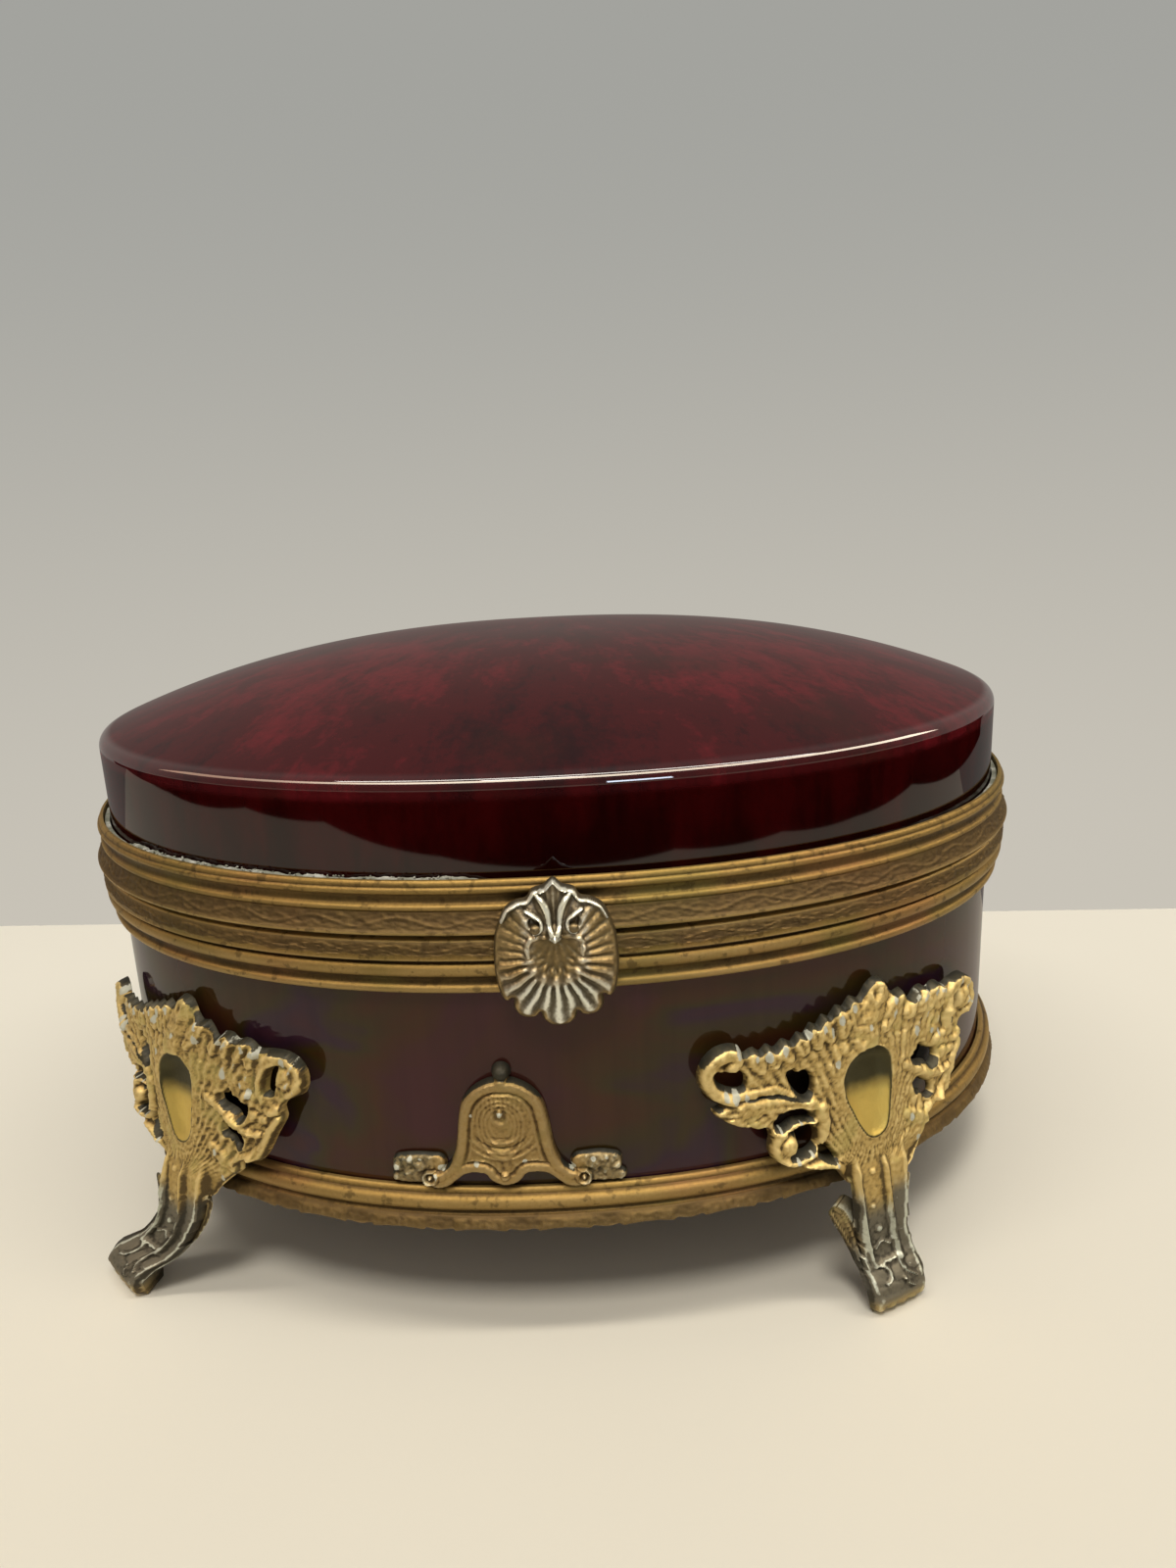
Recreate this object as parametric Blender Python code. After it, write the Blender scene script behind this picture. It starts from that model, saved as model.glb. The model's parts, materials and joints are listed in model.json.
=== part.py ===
# Oval porcelain box with gilt metal mounts: a footed tub, a hinged domed lid and a shell clasp.
# Metres, +Z up. The origin is on the ground under the middle of the box, +X along the oval, -Y is the front.

import math

import bmesh
import bpy
import numpy as np

# Plan of the porcelain wall: an oval between an ellipse and a rounded rectangle
HALF_LENGTH = 0.1000
HALF_WIDTH = 0.0800
OVAL_POWER = 2.166
OVAL_STEPS = 48

# Stack of visible heights, from the ground up
LEG_HEIGHT = 0.0250
BAND_HEIGHT = 0.0076
BODY_SHOWN = 0.0393
BASE_BEZEL_HEIGHT = 0.0105
MOUTH_GAP = 0.0012
LID_BEZEL_HEIGHT = 0.00935
LID_SHOWN = 0.0174
DOME_RISE = 0.0150
DOME_POWER = 2.6
DOME_SHARES = (0, 0.25, 0.48, 0.68, 0.84, 0.95)
INNER_DOME_SHARES = (0, 0.4, 0.72, 1)

# Porcelain
BODY_WALL = 0.0040
BODY_FLOOR = 0.0045
LID_WALL = 0.0040
CREASE_RADIUS = 0.0025
CREASE_TOP_ANGLE = 67.0
CREASE_STEPS = 3
RIM_ROUND = 0.0010
BODY_CORNER = 0.0015
INNER_FILLET = 0.0040

# Metal rings, as offsets outwards from the porcelain wall
LID_BEZEL_REACH = 0.0039
BASE_BEZEL_REACH = 0.0034
BAND_REACH = 0.0038
FLANGE_THICKNESS = 0.0010
BAND_FLANGE_WIDTH = 0.0080
COLLAR_RISE = 0.0022
COLLAR_THICKNESS = 0.0007
COLLAR_INSET = 0.0055
COLLAR_PLAY = 0.0004
BAND_SKIN = 0.0012
BAND_FLANGE_RAISE = 0.0010
CEMENT_THICKNESS = 0.0008
CEMENT_SIDE = 0.0009
GAP = 0.0003

# Mouldings as (share of the way out from the skin, share of the ring's height down from its top)
LID_MOULDING = (
    (0.25, 0.00),
    (0.42, 0.10),
    (0.62, 0.17),
    (0.62, 0.24),
    (0.21, 0.33),
    (0.21, 0.45),
    (0.46, 0.52),
    (0.38, 0.60),
    (0.79, 0.81),
    (1.00, 0.91),
    (0.83, 1.00),
)
BASE_MOULDING = (
    (0.90, 0.00),
    (1.00, 0.06),
    (0.90, 0.34),
    (0.61, 0.40),
    (0.81, 0.47),
    (0.87, 0.57),
    (0.74, 0.66),
    (0.42, 0.72),
    (0.42, 0.82),
    (0.58, 0.89),
    (0.48, 1.00),
)
BAND_MOULDING = (
    (0.23, 0.00),
    (0.40, 0.12),
    (0.68, 0.21),
    (0.80, 0.33),
    (0.68, 0.45),
    (0.51, 0.53),
    (0.54, 0.66),
    (1.00, 0.77),
    (1.00, 1.00),
    (0.74, 1.00),
)

# Hinge at the back
HINGE_LENGTH = 0.0340
HINGE_TONGUE = 0.0110
KNUCKLE_RADIUS = 0.0023
KNUCKLE_BORE = 0.0013
PIN_RADIUS = 0.0010
PIN_KNOB_RADIUS = 0.0017
PIN_KNOB = ((0.8, 0.1), (1.0, 0.7), (0.7, 1.4), (0.1, 1.7))
KNUCKLE_END_GAP = 0.0004
HINGE_AXIS_OUT = 0.0062
LEAF_THICKNESS = 0.0010
LEAF_CLEAR_OF_KNUCKLE = 0.0003
BASE_LEAF_HEIGHT = 0.0062
LID_LEAF_HEIGHT = 0.0058
ROUND_STEPS = 16

# Shell clasp on the front of the lid bezel; rows are shares of its size, rim, dome and fluting
SHELL_HALF_WIDTH = 0.0107
SHELL_HALF_HEIGHT = 0.0128
SHELL_CENTRE_DROP = 0.0123
SHELL_DOME = 0.0030
SHELL_RIM = 0.0013
SHELL_FLUTES = 18
SHELL_FLUTE_DEPTH = 0.0004
SHELL_LOBE = 0.035
SHELL_ROWS = (
    (0.90, 0.0, 0.00, 0.0),
    (0.98, 0.5, 0.00, 1.0),
    (0.97, 1.0, 0.00, 1.0),
    (0.74, 1.0, 0.66, 1.0),
    (0.36, 1.0, 0.94, 0.4),
)
RIVET_SPREAD = 0.0031
RIVET_RISE = 0.0053
RIVET_RADIUS = 0.0008
RIVET_HEAD_RADIUS = 0.0013
RIVET_HEAD_HEIGHT = 0.0012
RIVET_CROWN = 0.0004
RIVET_STEPS = 10

# Feet: a pierced plate over the wall, a curved leg, and a lug under the band
FOOT_PLATE_THICKNESS = 0.0022
FOOT_LEAN_IN = 0.0026
FOOT_WRAP_STEP = 0.0082
LEG_DEPTH = 0.0038
LEG_SIDES = 8
LEG_INSET = 0.0005
LUG_WIDTH = 0.0080
LUG_OVERLAP = 0.0028
LUG_THICKNESS = 0.0022
LUG_INSET = 0.0066
SCREW_INSET = 0.0030
SCREW_RADIUS = 0.0012
SCREW_HEAD_RADIUS = 0.0022
SCREW_HEAD_CHAMFER = 0.0004
SCREW_HEAD_HEIGHT = 0.0012
SCREW_STEPS = 12

# Leg from its root down: share of its height, of the way out to the toe, of the toe's bend, and width and depth
LEG_SECTIONS = (
    (1.00, 0.00, 0.00, 0.0120, 0.0038),
    (0.78, 0.05, 0.12, 0.0122, 0.0040),
    (0.56, 0.14, 0.34, 0.0124, 0.0044),
    (0.38, 0.40, 0.62, 0.0126, 0.0056),
    (0.28, 0.80, 0.86, 0.0130, 0.0080),
    (0.17, 1.00, 1.00, 0.0132, 0.0096),
    (0.07, 0.98, 1.00, 0.0122, 0.0084),
    (0.00, 0.92, 0.96, 0.0094, 0.0056),
)
LEG_ROOT = (0.0100, 0.0030)

# Plate of a foot: shares of its span along the wall and of its height
# Scrolls add their radius, start and end in degrees, and number of points
FOOT_BELOW_BEZEL = 0.0064
FOOT_SPAN = 0.0340
FOOT_RIGHT_CREST = (
    (0.029, 1.00),
    (0.135, 0.92),
    (0.247, 0.81),
    (0.324, 0.79),
    (0.412, 0.84),
    (0.529, 0.83),
)
FOOT_RIGHT_SCROLLS = (
    (0.753, 0.65, 0.0052, 105, -60, 6),
    (0.718, 0.41, 0.0017, 60, -60, 3),
)
FOOT_WAIST = (
    (0.576, 0.18),
    (0.482, 0.05),
    (0.371, -0.16),
    (0.182, -0.66),
    (0.159, -1.10),
    (-0.153, -1.10),
    (-0.176, -0.63),
    (-0.282, -0.24),
    (-0.394, 0.00),
)
FOOT_LEFT_SCROLLS = (
    (-0.500, 0.15, 0.0046, 260, 150, 4),
    (-0.812, 0.37, 0.0037, 285, 120, 5),
    (-0.871, 0.67, 0.0046, 235, 75, 6),
)
FOOT_LEFT_CREST = (
    (-0.724, 0.76),
    (-0.629, 0.80),
    (-0.512, 0.78),
    (-0.418, 0.85),
    (-0.324, 0.83),
    (-0.241, 0.92),
    (-0.106, 0.95),
)
FOOT_SLOTS = (
    ((-0.882, 0.64), (-0.794, 0.58), 0.0026),
    ((-0.476, 0.57), (-0.406, 0.47), 0.0030),
    ((0.341, 0.46), (0.476, 0.32), 0.0022),
    ((0.335, 0.26), (0.459, 0.13), 0.0020),
    ((0.703, 0.69), (0.694, 0.55), 0.0016),
)
FOOT_EYE = (-0.471, 0.26, 0.0023)
FOOT_SPANDREL = ((-0.365, 0.07), (-0.318, 0.13), (-0.253, 0.01))

# Feet by angle round the oval from +X, with how far the toe reaches out and along the wall
FEET = {
    "foot_front_right": (-58.0, 0.0082, 0.0018),
    "foot_front_left": (-134.8, 0.0122, -0.0125),
    "foot_back_left": (122.0, 0.0100, 0.0010),
    "foot_back_right": (45.2, 0.0100, 0.0010),
}

# Bell-shaped mount on the front, standing on the bottom band
BELL_ANGLE = -95.2
BELL_THICKNESS = 0.0024
BELL_WRAP_STEP = 0.0072
BELL_HEIGHT = 0.0250
BELL_KNOB_RADIUS = 0.0023
BELL_HALF_WIDTH = 0.0218
BELL_SIDE = (
    (0.092, 0.81),
    (0.211, 0.76),
    (0.294, 0.66),
    (0.349, 0.42),
    (0.404, 0.22),
    (0.486, 0.16),
    (0.578, 0.24),
    (0.697, 0.25),
    (0.807, 0.22),
    (0.927, 0.24),
    (0.982, 0.17),
    (1.000, 0.00),
    (0.587, 0.00),
    (0.450, 0.03),
    (0.349, 0.10),
    (0.248, 0.12),
    (0.119, 0.06),
    (0.037, 0.02),
)

# Surface colours, roughness and metal share
FINISHES = {
    "lid_glaze": ((0.160, 0.012, 0.018), 0.12, 0.0),
    "body_glaze": ((0.050, 0.028, 0.034), 0.14, 0.0),
    "gilt": ((0.480, 0.330, 0.110), 0.38, 1.0),
    "worn_gilt": ((0.330, 0.240, 0.110), 0.45, 1.0),
    "pewter": ((0.220, 0.210, 0.170), 0.42, 1.0),
    "plaster": ((0.620, 0.600, 0.540), 0.90, 0.0),
    "steel": ((0.300, 0.280, 0.240), 0.40, 1.0),
}

# Levels worked out from the stack
BAND_BOTTOM = LEG_HEIGHT
BAND_TOP = BAND_BOTTOM + BAND_HEIGHT
BASE_BOTTOM = BAND_TOP + BODY_SHOWN
BASE_TOP = BASE_BOTTOM + BASE_BEZEL_HEIGHT
LID_BOTTOM = BASE_TOP + MOUTH_GAP
LID_TOP = LID_BOTTOM + LID_BEZEL_HEIGHT
CREASE_CENTRE = LID_TOP + LID_SHOWN - CREASE_RADIUS
FLANGE_UNDER = BAND_BOTTOM + BAND_FLANGE_RAISE
BAND_INNER = BAND_REACH - BAND_SKIN
BODY_BOTTOM = FLANGE_UNDER + FLANGE_THICKNESS + CEMENT_THICKNESS + 2 * GAP
BODY_RIM = BASE_TOP - FLANGE_THICKNESS - CEMENT_THICKNESS - 2 * GAP
LID_RIM = LID_BOTTOM + FLANGE_THICKNESS + CEMENT_THICKNESS + 2 * GAP
HINGE_Y = HALF_WIDTH + HINGE_AXIS_OUT
HINGE_Z = BASE_TOP + MOUTH_GAP / 2
LID_SKIN = CEMENT_SIDE + 2 * GAP


def wallPoint(angle, offset):
    """Point of the oval at an angle in radians, moved outwards by offset."""
    c, s = math.cos(angle), math.sin(angle)
    x = HALF_LENGTH * math.copysign(abs(c) ** (2 / OVAL_POWER), c)
    y = HALF_WIDTH * math.copysign(abs(s) ** (2 / OVAL_POWER), s)
    nx = math.copysign(abs(x / HALF_LENGTH) ** (OVAL_POWER - 1) / HALF_LENGTH, x)
    ny = math.copysign(abs(y / HALF_WIDTH) ** (OVAL_POWER - 1) / HALF_WIDTH, y)
    size = math.hypot(nx, ny)
    return x + offset * nx / size, y + offset * ny / size


FINE_ANGLES = np.linspace(-math.pi, math.pi, 2881)
FINE_POINTS = np.array([wallPoint(angle, 0) for angle in FINE_ANGLES])
FINE_ARC = np.concatenate([[0], np.cumsum(np.hypot(*np.diff(FINE_POINTS, axis=0).T))])


def arcAt(angle):
    """Length along the wall from the left end to an angle."""
    return float(np.interp(angle, FINE_ANGLES, FINE_ARC))


def angleAt(arc):
    """Angle of the point that lies a length along the wall."""
    return float(np.interp(arc % FINE_ARC[-1], FINE_ARC, FINE_ANGLES))


def wrapped(centre_angle, along, out, height):
    """Point given along the wall from an angle, outwards from it, and above the ground."""
    x, y = wallPoint(angleAt(arcAt(centre_angle) + along), out)
    return x, y, height


RING_ANGLES = [angleAt(FINE_ARC[-1] * step / OVAL_STEPS) for step in range(OVAL_STEPS)]


def finish(name):
    """Material of a finish, made once."""
    if name in bpy.data.materials:
        return bpy.data.materials[name]
    colour, roughness, metal = FINISHES[name]
    material = bpy.data.materials.new(name)
    material.use_nodes = True
    shader = material.node_tree.nodes["Principled BSDF"]
    shader.inputs["Base Color"].default_value = (*colour, 1)
    shader.inputs["Roughness"].default_value = roughness
    shader.inputs["Metallic"].default_value = metal
    return material


def addObject(name, shape, finish_name, sharp_degrees=35):
    """Object from a closed bmesh, with its normals outwards."""
    bmesh.ops.recalc_face_normals(shape, faces=shape.faces)
    mesh = bpy.data.meshes.new(name)
    shape.to_mesh(mesh)
    shape.free()
    mesh.shade_smooth()
    mesh.set_sharp_from_angle(angle=math.radians(sharp_degrees))
    thing = bpy.data.objects.new(name, mesh)
    bpy.context.scene.collection.objects.link(thing)
    thing.data.materials.append(finish(finish_name))
    return thing


def combine(target, other, operation):
    """Joins or cuts a closed object with another, which is then left out."""
    other.hide_render = True
    other.display_type = "WIRE"
    boolean = target.modifiers.new(operation.lower() + "_" + other.name, "BOOLEAN")
    boolean.operation = operation
    boolean.solver = "EXACT"
    boolean.object = other


def ringFaces(shape, lower, upper):
    """Quads between two loops of as many vertices."""
    for k in range(len(lower)):
        j = (k + 1) % len(lower)
        shape.faces.new((lower[k], lower[j], upper[j], upper[k]))


def ovalRing(name, section, finish_name):
    """Ring that runs a closed (offset, height) section round the oval."""
    shape = bmesh.new()
    loops = []
    for offset, height in section:
        loops.append([shape.verts.new((*wallPoint(a, offset), height)) for a in RING_ANGLES])
    for k in range(len(loops)):
        ringFaces(shape, loops[k], loops[(k + 1) % len(loops)])
    return addObject(name, shape, finish_name)


def ovalShell(name, rows, finish_name):
    """Closed oval shell: rows are (share of the oval, offset, height), first and last in the middle."""
    shape = bmesh.new()
    first = shape.verts.new((0, 0, rows[0][2]))
    last = shape.verts.new((0, 0, rows[-1][2]))
    loops = []
    for share, offset, height in rows[1:-1]:
        loop = []
        for angle in RING_ANGLES:
            x, y = wallPoint(angle, offset)
            loop.append(shape.verts.new((share * x, share * y, height)))
        loops.append(loop)
    for lower, upper in zip(loops, loops[1:]):
        ringFaces(shape, lower, upper)
    for pole, loop in ((first, loops[0]), (last, loops[-1])):
        for k in range(len(loop)):
            shape.faces.new((pole, loop[k], loop[(k + 1) % len(loop)]))
    return addObject(name, shape, finish_name)


def lathe(name, profile, steps, place, finish_name):
    """Turned solid: profile is (radius, distance along the axis), and place maps across, up, along."""
    shape = bmesh.new()
    ends = [shape.verts.new(place(0, 0, profile[k][1])) for k in (0, -1)]
    loops = []
    for radius, along in profile:
        turns = [2 * math.pi * k / steps for k in range(steps)]
        loops.append([shape.verts.new(place(radius * math.cos(a), radius * math.sin(a), along)) for a in turns])
    for lower, upper in zip(loops, loops[1:]):
        ringFaces(shape, lower, upper)
    for pole, loop in ((ends[0], loops[0]), (ends[1], loops[-1])):
        for k in range(steps):
            shape.faces.new((pole, loop[k], loop[(k + 1) % steps]))
    return addObject(name, shape, finish_name)


def arcPoints(centre, radius, start, end, count):
    """Points of an arc, with its ends, from one angle in degrees to another."""
    turns = [math.radians(start + (end - start) * k / (count - 1)) for k in range(count)]
    return [(centre[0] + radius * math.cos(a), centre[1] + radius * math.sin(a)) for a in turns]


def slotPoints(start, end, width):
    """Outline of a slot with rounded ends between two points."""
    turn = math.degrees(math.atan2(end[1] - start[1], end[0] - start[0]))
    return arcPoints(start, width / 2, turn + 90, turn + 270, 4) + arcPoints(end, width / 2, turn - 90, turn + 90, 4)


def wrappedPlate(name, angle, outline, holes, backing, thickness, step, finish_name):
    """Flat outline with holes, made a plate and bent round the wall: backing(height) is its back's offset."""
    shape = bmesh.new()
    edges = []
    for loop in [outline] + holes:
        corners = [shape.verts.new((along, 0, height)) for along, height in loop]
        for k in range(len(corners)):
            edges.append(shape.edges.new((corners[k], corners[(k + 1) % len(corners)])))
    bmesh.ops.triangle_fill(shape, edges=edges, use_beauty=True, use_dissolve=False)
    span = [p[0] for p in outline]
    cut = math.ceil(min(span) / step) * step
    while cut < max(span):
        everything = shape.verts[:] + shape.edges[:] + shape.faces[:]
        bmesh.ops.bisect_plane(shape, geom=everything, dist=1e-6, plane_co=(cut, 0, 0), plane_no=(1, 0, 0))
        cut += step
    if min(p[1] for p in outline) < BAND_TOP:
        everything = shape.verts[:] + shape.edges[:] + shape.faces[:]
        bmesh.ops.bisect_plane(shape, geom=everything, dist=1e-6, plane_co=(0, 0, BAND_TOP), plane_no=(0, 0, 1))
    bmesh.ops.triangulate(shape, faces=shape.faces)
    grown = bmesh.ops.extrude_face_region(shape, geom=shape.faces[:])
    front = [item for item in grown["geom"] if isinstance(item, bmesh.types.BMVert)]
    bmesh.ops.translate(shape, verts=front, vec=(0, thickness, 0))
    for vertex in shape.verts:
        along, out, height = vertex.co
        vertex.co = wrapped(angle, along, backing(height) + out, height)
    return addObject(name, shape, finish_name)


def wrappedBlock(name, angle, along, out, height, steps, finish_name):
    """Block between low and high values along, outwards and up, bent round the wall in steps."""
    shape = bmesh.new()
    loops = []
    for k in range(steps + 1):
        here = along[0] + (along[1] - along[0]) * k / steps
        corners = ((out[0], height[0]), (out[1], height[0]), (out[1], height[1]), (out[0], height[1]))
        loops.append([shape.verts.new(wrapped(angle, here, o, h)) for o, h in corners])
    for lower, upper in zip(loops, loops[1:]):
        ringFaces(shape, lower, upper)
    shape.faces.new(loops[0])
    shape.faces.new(loops[-1])
    return addObject(name, shape, finish_name)


def domeRows(edge_offset, edge_height, shares):
    """Rows of the dome from its middle outwards."""
    return [(s, edge_offset, edge_height + DOME_RISE * (1 - s ** DOME_POWER)) for s in shares]


def makeLidPorcelain():
    """Domed lid: crown, rounded crease, upright wall, and an even wall thickness inside."""
    turns = [math.radians(CREASE_TOP_ANGLE * (1 - k / CREASE_STEPS)) for k in range(CREASE_STEPS + 1)]
    crease = [(1, CREASE_RADIUS * (math.cos(a) - 1), CREASE_CENTRE + CREASE_RADIUS * math.sin(a)) for a in turns]
    outer = domeRows(crease[0][1], crease[0][2], DOME_SHARES) + crease
    rim = [
        (1, 0, LID_RIM + RIM_ROUND),
        (1, -RIM_ROUND, LID_RIM),
        (1, -LID_WALL + RIM_ROUND, LID_RIM),
        (1, -LID_WALL, LID_RIM + RIM_ROUND),
    ]
    inner_edge = crease[0][2] - LID_WALL
    inside = [(1, -LID_WALL, inner_edge - INNER_FILLET)]
    inside += reversed(domeRows(-LID_WALL - INNER_FILLET / 2, inner_edge, INNER_DOME_SHARES))
    return ovalShell("lid_porcelain", outer + rim + inside, "lid_glaze")


def makeBodyPorcelain():
    """Open oval tub with a flat floor."""
    floor = BODY_BOTTOM + BODY_FLOOR
    rows = [
        (0, 0, BODY_BOTTOM),
        (1, -BODY_CORNER, BODY_BOTTOM),
        (1, 0, BODY_BOTTOM + BODY_CORNER),
        (1, 0, BODY_RIM - RIM_ROUND),
        (1, -RIM_ROUND, BODY_RIM),
        (1, -BODY_WALL + RIM_ROUND, BODY_RIM),
        (1, -BODY_WALL, BODY_RIM - RIM_ROUND),
        (1, -BODY_WALL, floor + INNER_FILLET),
        (1, -BODY_WALL - INNER_FILLET, floor),
        (0, 0, floor),
    ]
    return ovalShell("body_porcelain", rows, "body_glaze")


def moulded(moulding, skin, reach, top, height):
    """Outer side of a ring's section, from its top down."""
    return [(skin + (reach - skin) * out, top - height * down) for out, down in moulding]


def makeLidBezel():
    """Lid ring: lip, reed, cove, bead and a flaring chased band, with a flange under the porcelain rim."""
    edge = -COLLAR_INSET + COLLAR_THICKNESS + COLLAR_PLAY
    section = [(LID_SKIN, LID_TOP)] + moulded(LID_MOULDING, LID_SKIN, LID_BEZEL_REACH, LID_TOP, LID_BEZEL_HEIGHT)
    section += [
        (edge, LID_BOTTOM),
        (edge, LID_BOTTOM + FLANGE_THICKNESS),
        (LID_SKIN, LID_BOTTOM + FLANGE_THICKNESS),
    ]
    return ovalRing("lid_bezel", section, "gilt")


def makeBaseBezel():
    """Ring on the tub's mouth: flange, locating collar, chased band, reed and bead."""
    inner = -COLLAR_INSET
    section = [
        (inner, BASE_TOP + COLLAR_RISE),
        (inner + COLLAR_THICKNESS, BASE_TOP + COLLAR_RISE),
        (inner + COLLAR_THICKNESS, BASE_TOP),
    ]
    section += moulded(BASE_MOULDING, GAP, BASE_BEZEL_REACH, BASE_TOP, BASE_BEZEL_HEIGHT)
    section += [
        (GAP, BASE_BOTTOM),
        (GAP, BASE_TOP - FLANGE_THICKNESS),
        (inner, BASE_TOP - FLANGE_THICKNESS),
    ]
    return ovalRing("base_bezel", section, "gilt")


def makeBottomBand():
    """Ring round the tub's foot: lip, reed, groove and flaring leaf edge, with a flange the tub stands on."""
    section = [(GAP, BAND_TOP)] + moulded(BAND_MOULDING, GAP, BAND_REACH, BAND_TOP, BAND_HEIGHT)
    section += [
        (BAND_INNER, FLANGE_UNDER),
        (-BAND_FLANGE_WIDTH, FLANGE_UNDER),
        (-BAND_FLANGE_WIDTH, FLANGE_UNDER + FLANGE_THICKNESS),
        (GAP, FLANGE_UNDER + FLANGE_THICKNESS),
    ]
    return ovalRing("bottom_band", section, "gilt")


def makeCementBeds():
    """Plaster that seats the porcelain in its rings."""
    low = LID_BOTTOM + FLANGE_THICKNESS + GAP
    lid = [
        (-LID_WALL + GAP, low),
        (GAP + CEMENT_SIDE, low),
        (GAP + CEMENT_SIDE, LID_TOP - GAP),
        (GAP, LID_TOP - GAP),
        (GAP, low + CEMENT_THICKNESS),
        (-LID_WALL + GAP, low + CEMENT_THICKNESS),
    ]
    ovalRing("lid_cement_bed", lid, "plaster")
    beds = (
        ("base_cement_bed", BODY_RIM + GAP, -BODY_WALL + GAP, -GAP),
        ("bottom_cement_bed", BODY_BOTTOM - GAP - CEMENT_THICKNESS, -BAND_FLANGE_WIDTH + 2 * GAP, -BODY_CORNER),
    )
    for name, low, inner, outer in beds:
        high = low + CEMENT_THICKNESS
        ovalRing(name, [(inner, low), (outer, low), (outer, high), (inner, high)], "plaster")


def makeKnuckle(name, start, end, radius, finish_name="gilt"):
    """Cylinder on the hinge's axis between two places along it."""

    def place(across, up, along):
        return along, HINGE_Y + across, HINGE_Z + up

    return lathe(name, [(radius, start), (radius, end)], ROUND_STEPS, place, finish_name)


def makeHinge():
    """Two leaves on the bezels, the lid's knuckle between the base's two, and a pin with round ends."""
    half, tongue = HINGE_LENGTH / 2, HINGE_TONGUE / 2
    back = math.pi / 2
    clear = KNUCKLE_RADIUS + LEAF_CLEAR_OF_KNUCKLE
    overrun = KNUCKLE_END_GAP

    lid_out = (LID_BEZEL_REACH + GAP, LID_BEZEL_REACH + GAP + LEAF_THICKNESS)
    low = HINGE_Z + clear
    lid = wrappedBlock("lid_hinge_leaf", back, (-half, half), lid_out, (low, low + LID_LEAF_HEIGHT), 6, "gilt")
    stem = wrappedBlock("lid_hinge_stem", back, (-tongue, tongue), lid_out, (HINGE_Z, low + overrun), 2, "gilt")
    combine(lid, stem, "UNION")
    combine(lid, makeKnuckle("lid_knuckle", -tongue, tongue, KNUCKLE_RADIUS), "UNION")
    combine(lid, makeKnuckle("lid_knuckle_bore", -half, half, KNUCKLE_BORE), "DIFFERENCE")

    base_out = (BASE_BEZEL_REACH + GAP, BASE_BEZEL_REACH + GAP + LEAF_THICKNESS)
    high = HINGE_Z - clear
    base = wrappedBlock("base_hinge_leaf", back, (-half, half), base_out, (high - BASE_LEAF_HEIGHT, high), 6, "gilt")
    for side, start, end in (("left", -half, -tongue - overrun), ("right", tongue + overrun, half)):
        rise = (high - overrun, HINGE_Z)
        stem = wrappedBlock("base_hinge_stem_" + side, back, (-end, -start), base_out, rise, 2, "gilt")
        combine(base, stem, "UNION")
        combine(base, makeKnuckle("base_knuckle_" + side, start, end, KNUCKLE_RADIUS), "UNION")
    combine(base, makeKnuckle("base_knuckle_bore", -2 * half, 2 * half, KNUCKLE_BORE), "DIFFERENCE")

    def place(across, up, along):
        return along, HINGE_Y + across, HINGE_Z + up

    knob = PIN_KNOB_RADIUS
    start = half + overrun
    right = [(PIN_RADIUS, 0), (PIN_RADIUS, start)]
    right += [(knob * wide, start + knob * far) for wide, far in PIN_KNOB]
    left = [(radius, -along) for radius, along in reversed(right[1:])]
    lathe("hinge_pin", left + right[1:], ROUND_STEPS, place, "steel")


def makeShellClasp():
    """Scallop shell on the lid bezel that hangs over the base bezel, held by two rivets."""
    back = LID_BEZEL_REACH + GAP
    middle = LID_TOP - SHELL_CENTRE_DROP
    steps = 2 * SHELL_FLUTES
    shape = bmesh.new()
    loops = []
    for share, rim, dome, fluted in SHELL_ROWS:
        out = back + SHELL_RIM * rim + SHELL_DOME * dome
        loop = []
        for k in range(steps):
            turn = 2 * math.pi * (k + 0.5) / steps
            ridge = 1 if k % 2 else -1
            size = share * (1 + SHELL_LOBE * fluted * ridge)
            along = SHELL_HALF_WIDTH * size * math.sin(turn)
            height = middle + SHELL_HALF_HEIGHT * size * math.cos(turn)
            relief = SHELL_FLUTE_DEPTH * fluted * ridge if out > back else 0
            loop.append(shape.verts.new(wrapped(-math.pi / 2, along, out + relief, height)))
        loops.append(loop)
    for lower, upper in zip(loops, loops[1:]):
        ringFaces(shape, lower, upper)
    poles = ((loops[0], back), (loops[-1], back + SHELL_RIM + SHELL_DOME))
    for loop, out in poles:
        pole = shape.verts.new(wrapped(-math.pi / 2, 0, out, middle))
        for k in range(steps):
            shape.faces.new((pole, loop[k], loop[(k + 1) % steps]))
    shell = addObject("shell_clasp", shape, "pewter")

    face = back + SHELL_RIM + SHELL_DOME
    root = LID_SKIN + GAP
    seat = face - RIVET_HEAD_HEIGHT
    cutters = []
    for side, sign in (("left", -1), ("right", 1)):
        angle = angleAt(arcAt(-math.pi / 2) + sign * RIVET_SPREAD)

        def place(across, up, along, angle=angle):
            return wrapped(angle, across, along, middle + RIVET_RISE + up)

        shank = [(RIVET_RADIUS, root), (RIVET_RADIUS, seat)]
        head = [(RIVET_HEAD_RADIUS, seat), (RIVET_HEAD_RADIUS, face - RIVET_CROWN), (RIVET_RADIUS, face)]
        lathe("clasp_rivet_" + side, shank + head, RIVET_STEPS, place, "pewter")
        bore = RIVET_RADIUS + GAP
        recess = RIVET_HEAD_RADIUS + GAP
        hole = [(bore, root - GAP), (bore, seat - GAP), (recess, seat - GAP), (recess, face + RIVET_HEAD_HEIGHT)]
        cutters.append(lathe("clasp_rivet_hole_" + side, hole, RIVET_STEPS, place, "pewter"))
    return shell, cutters


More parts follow.
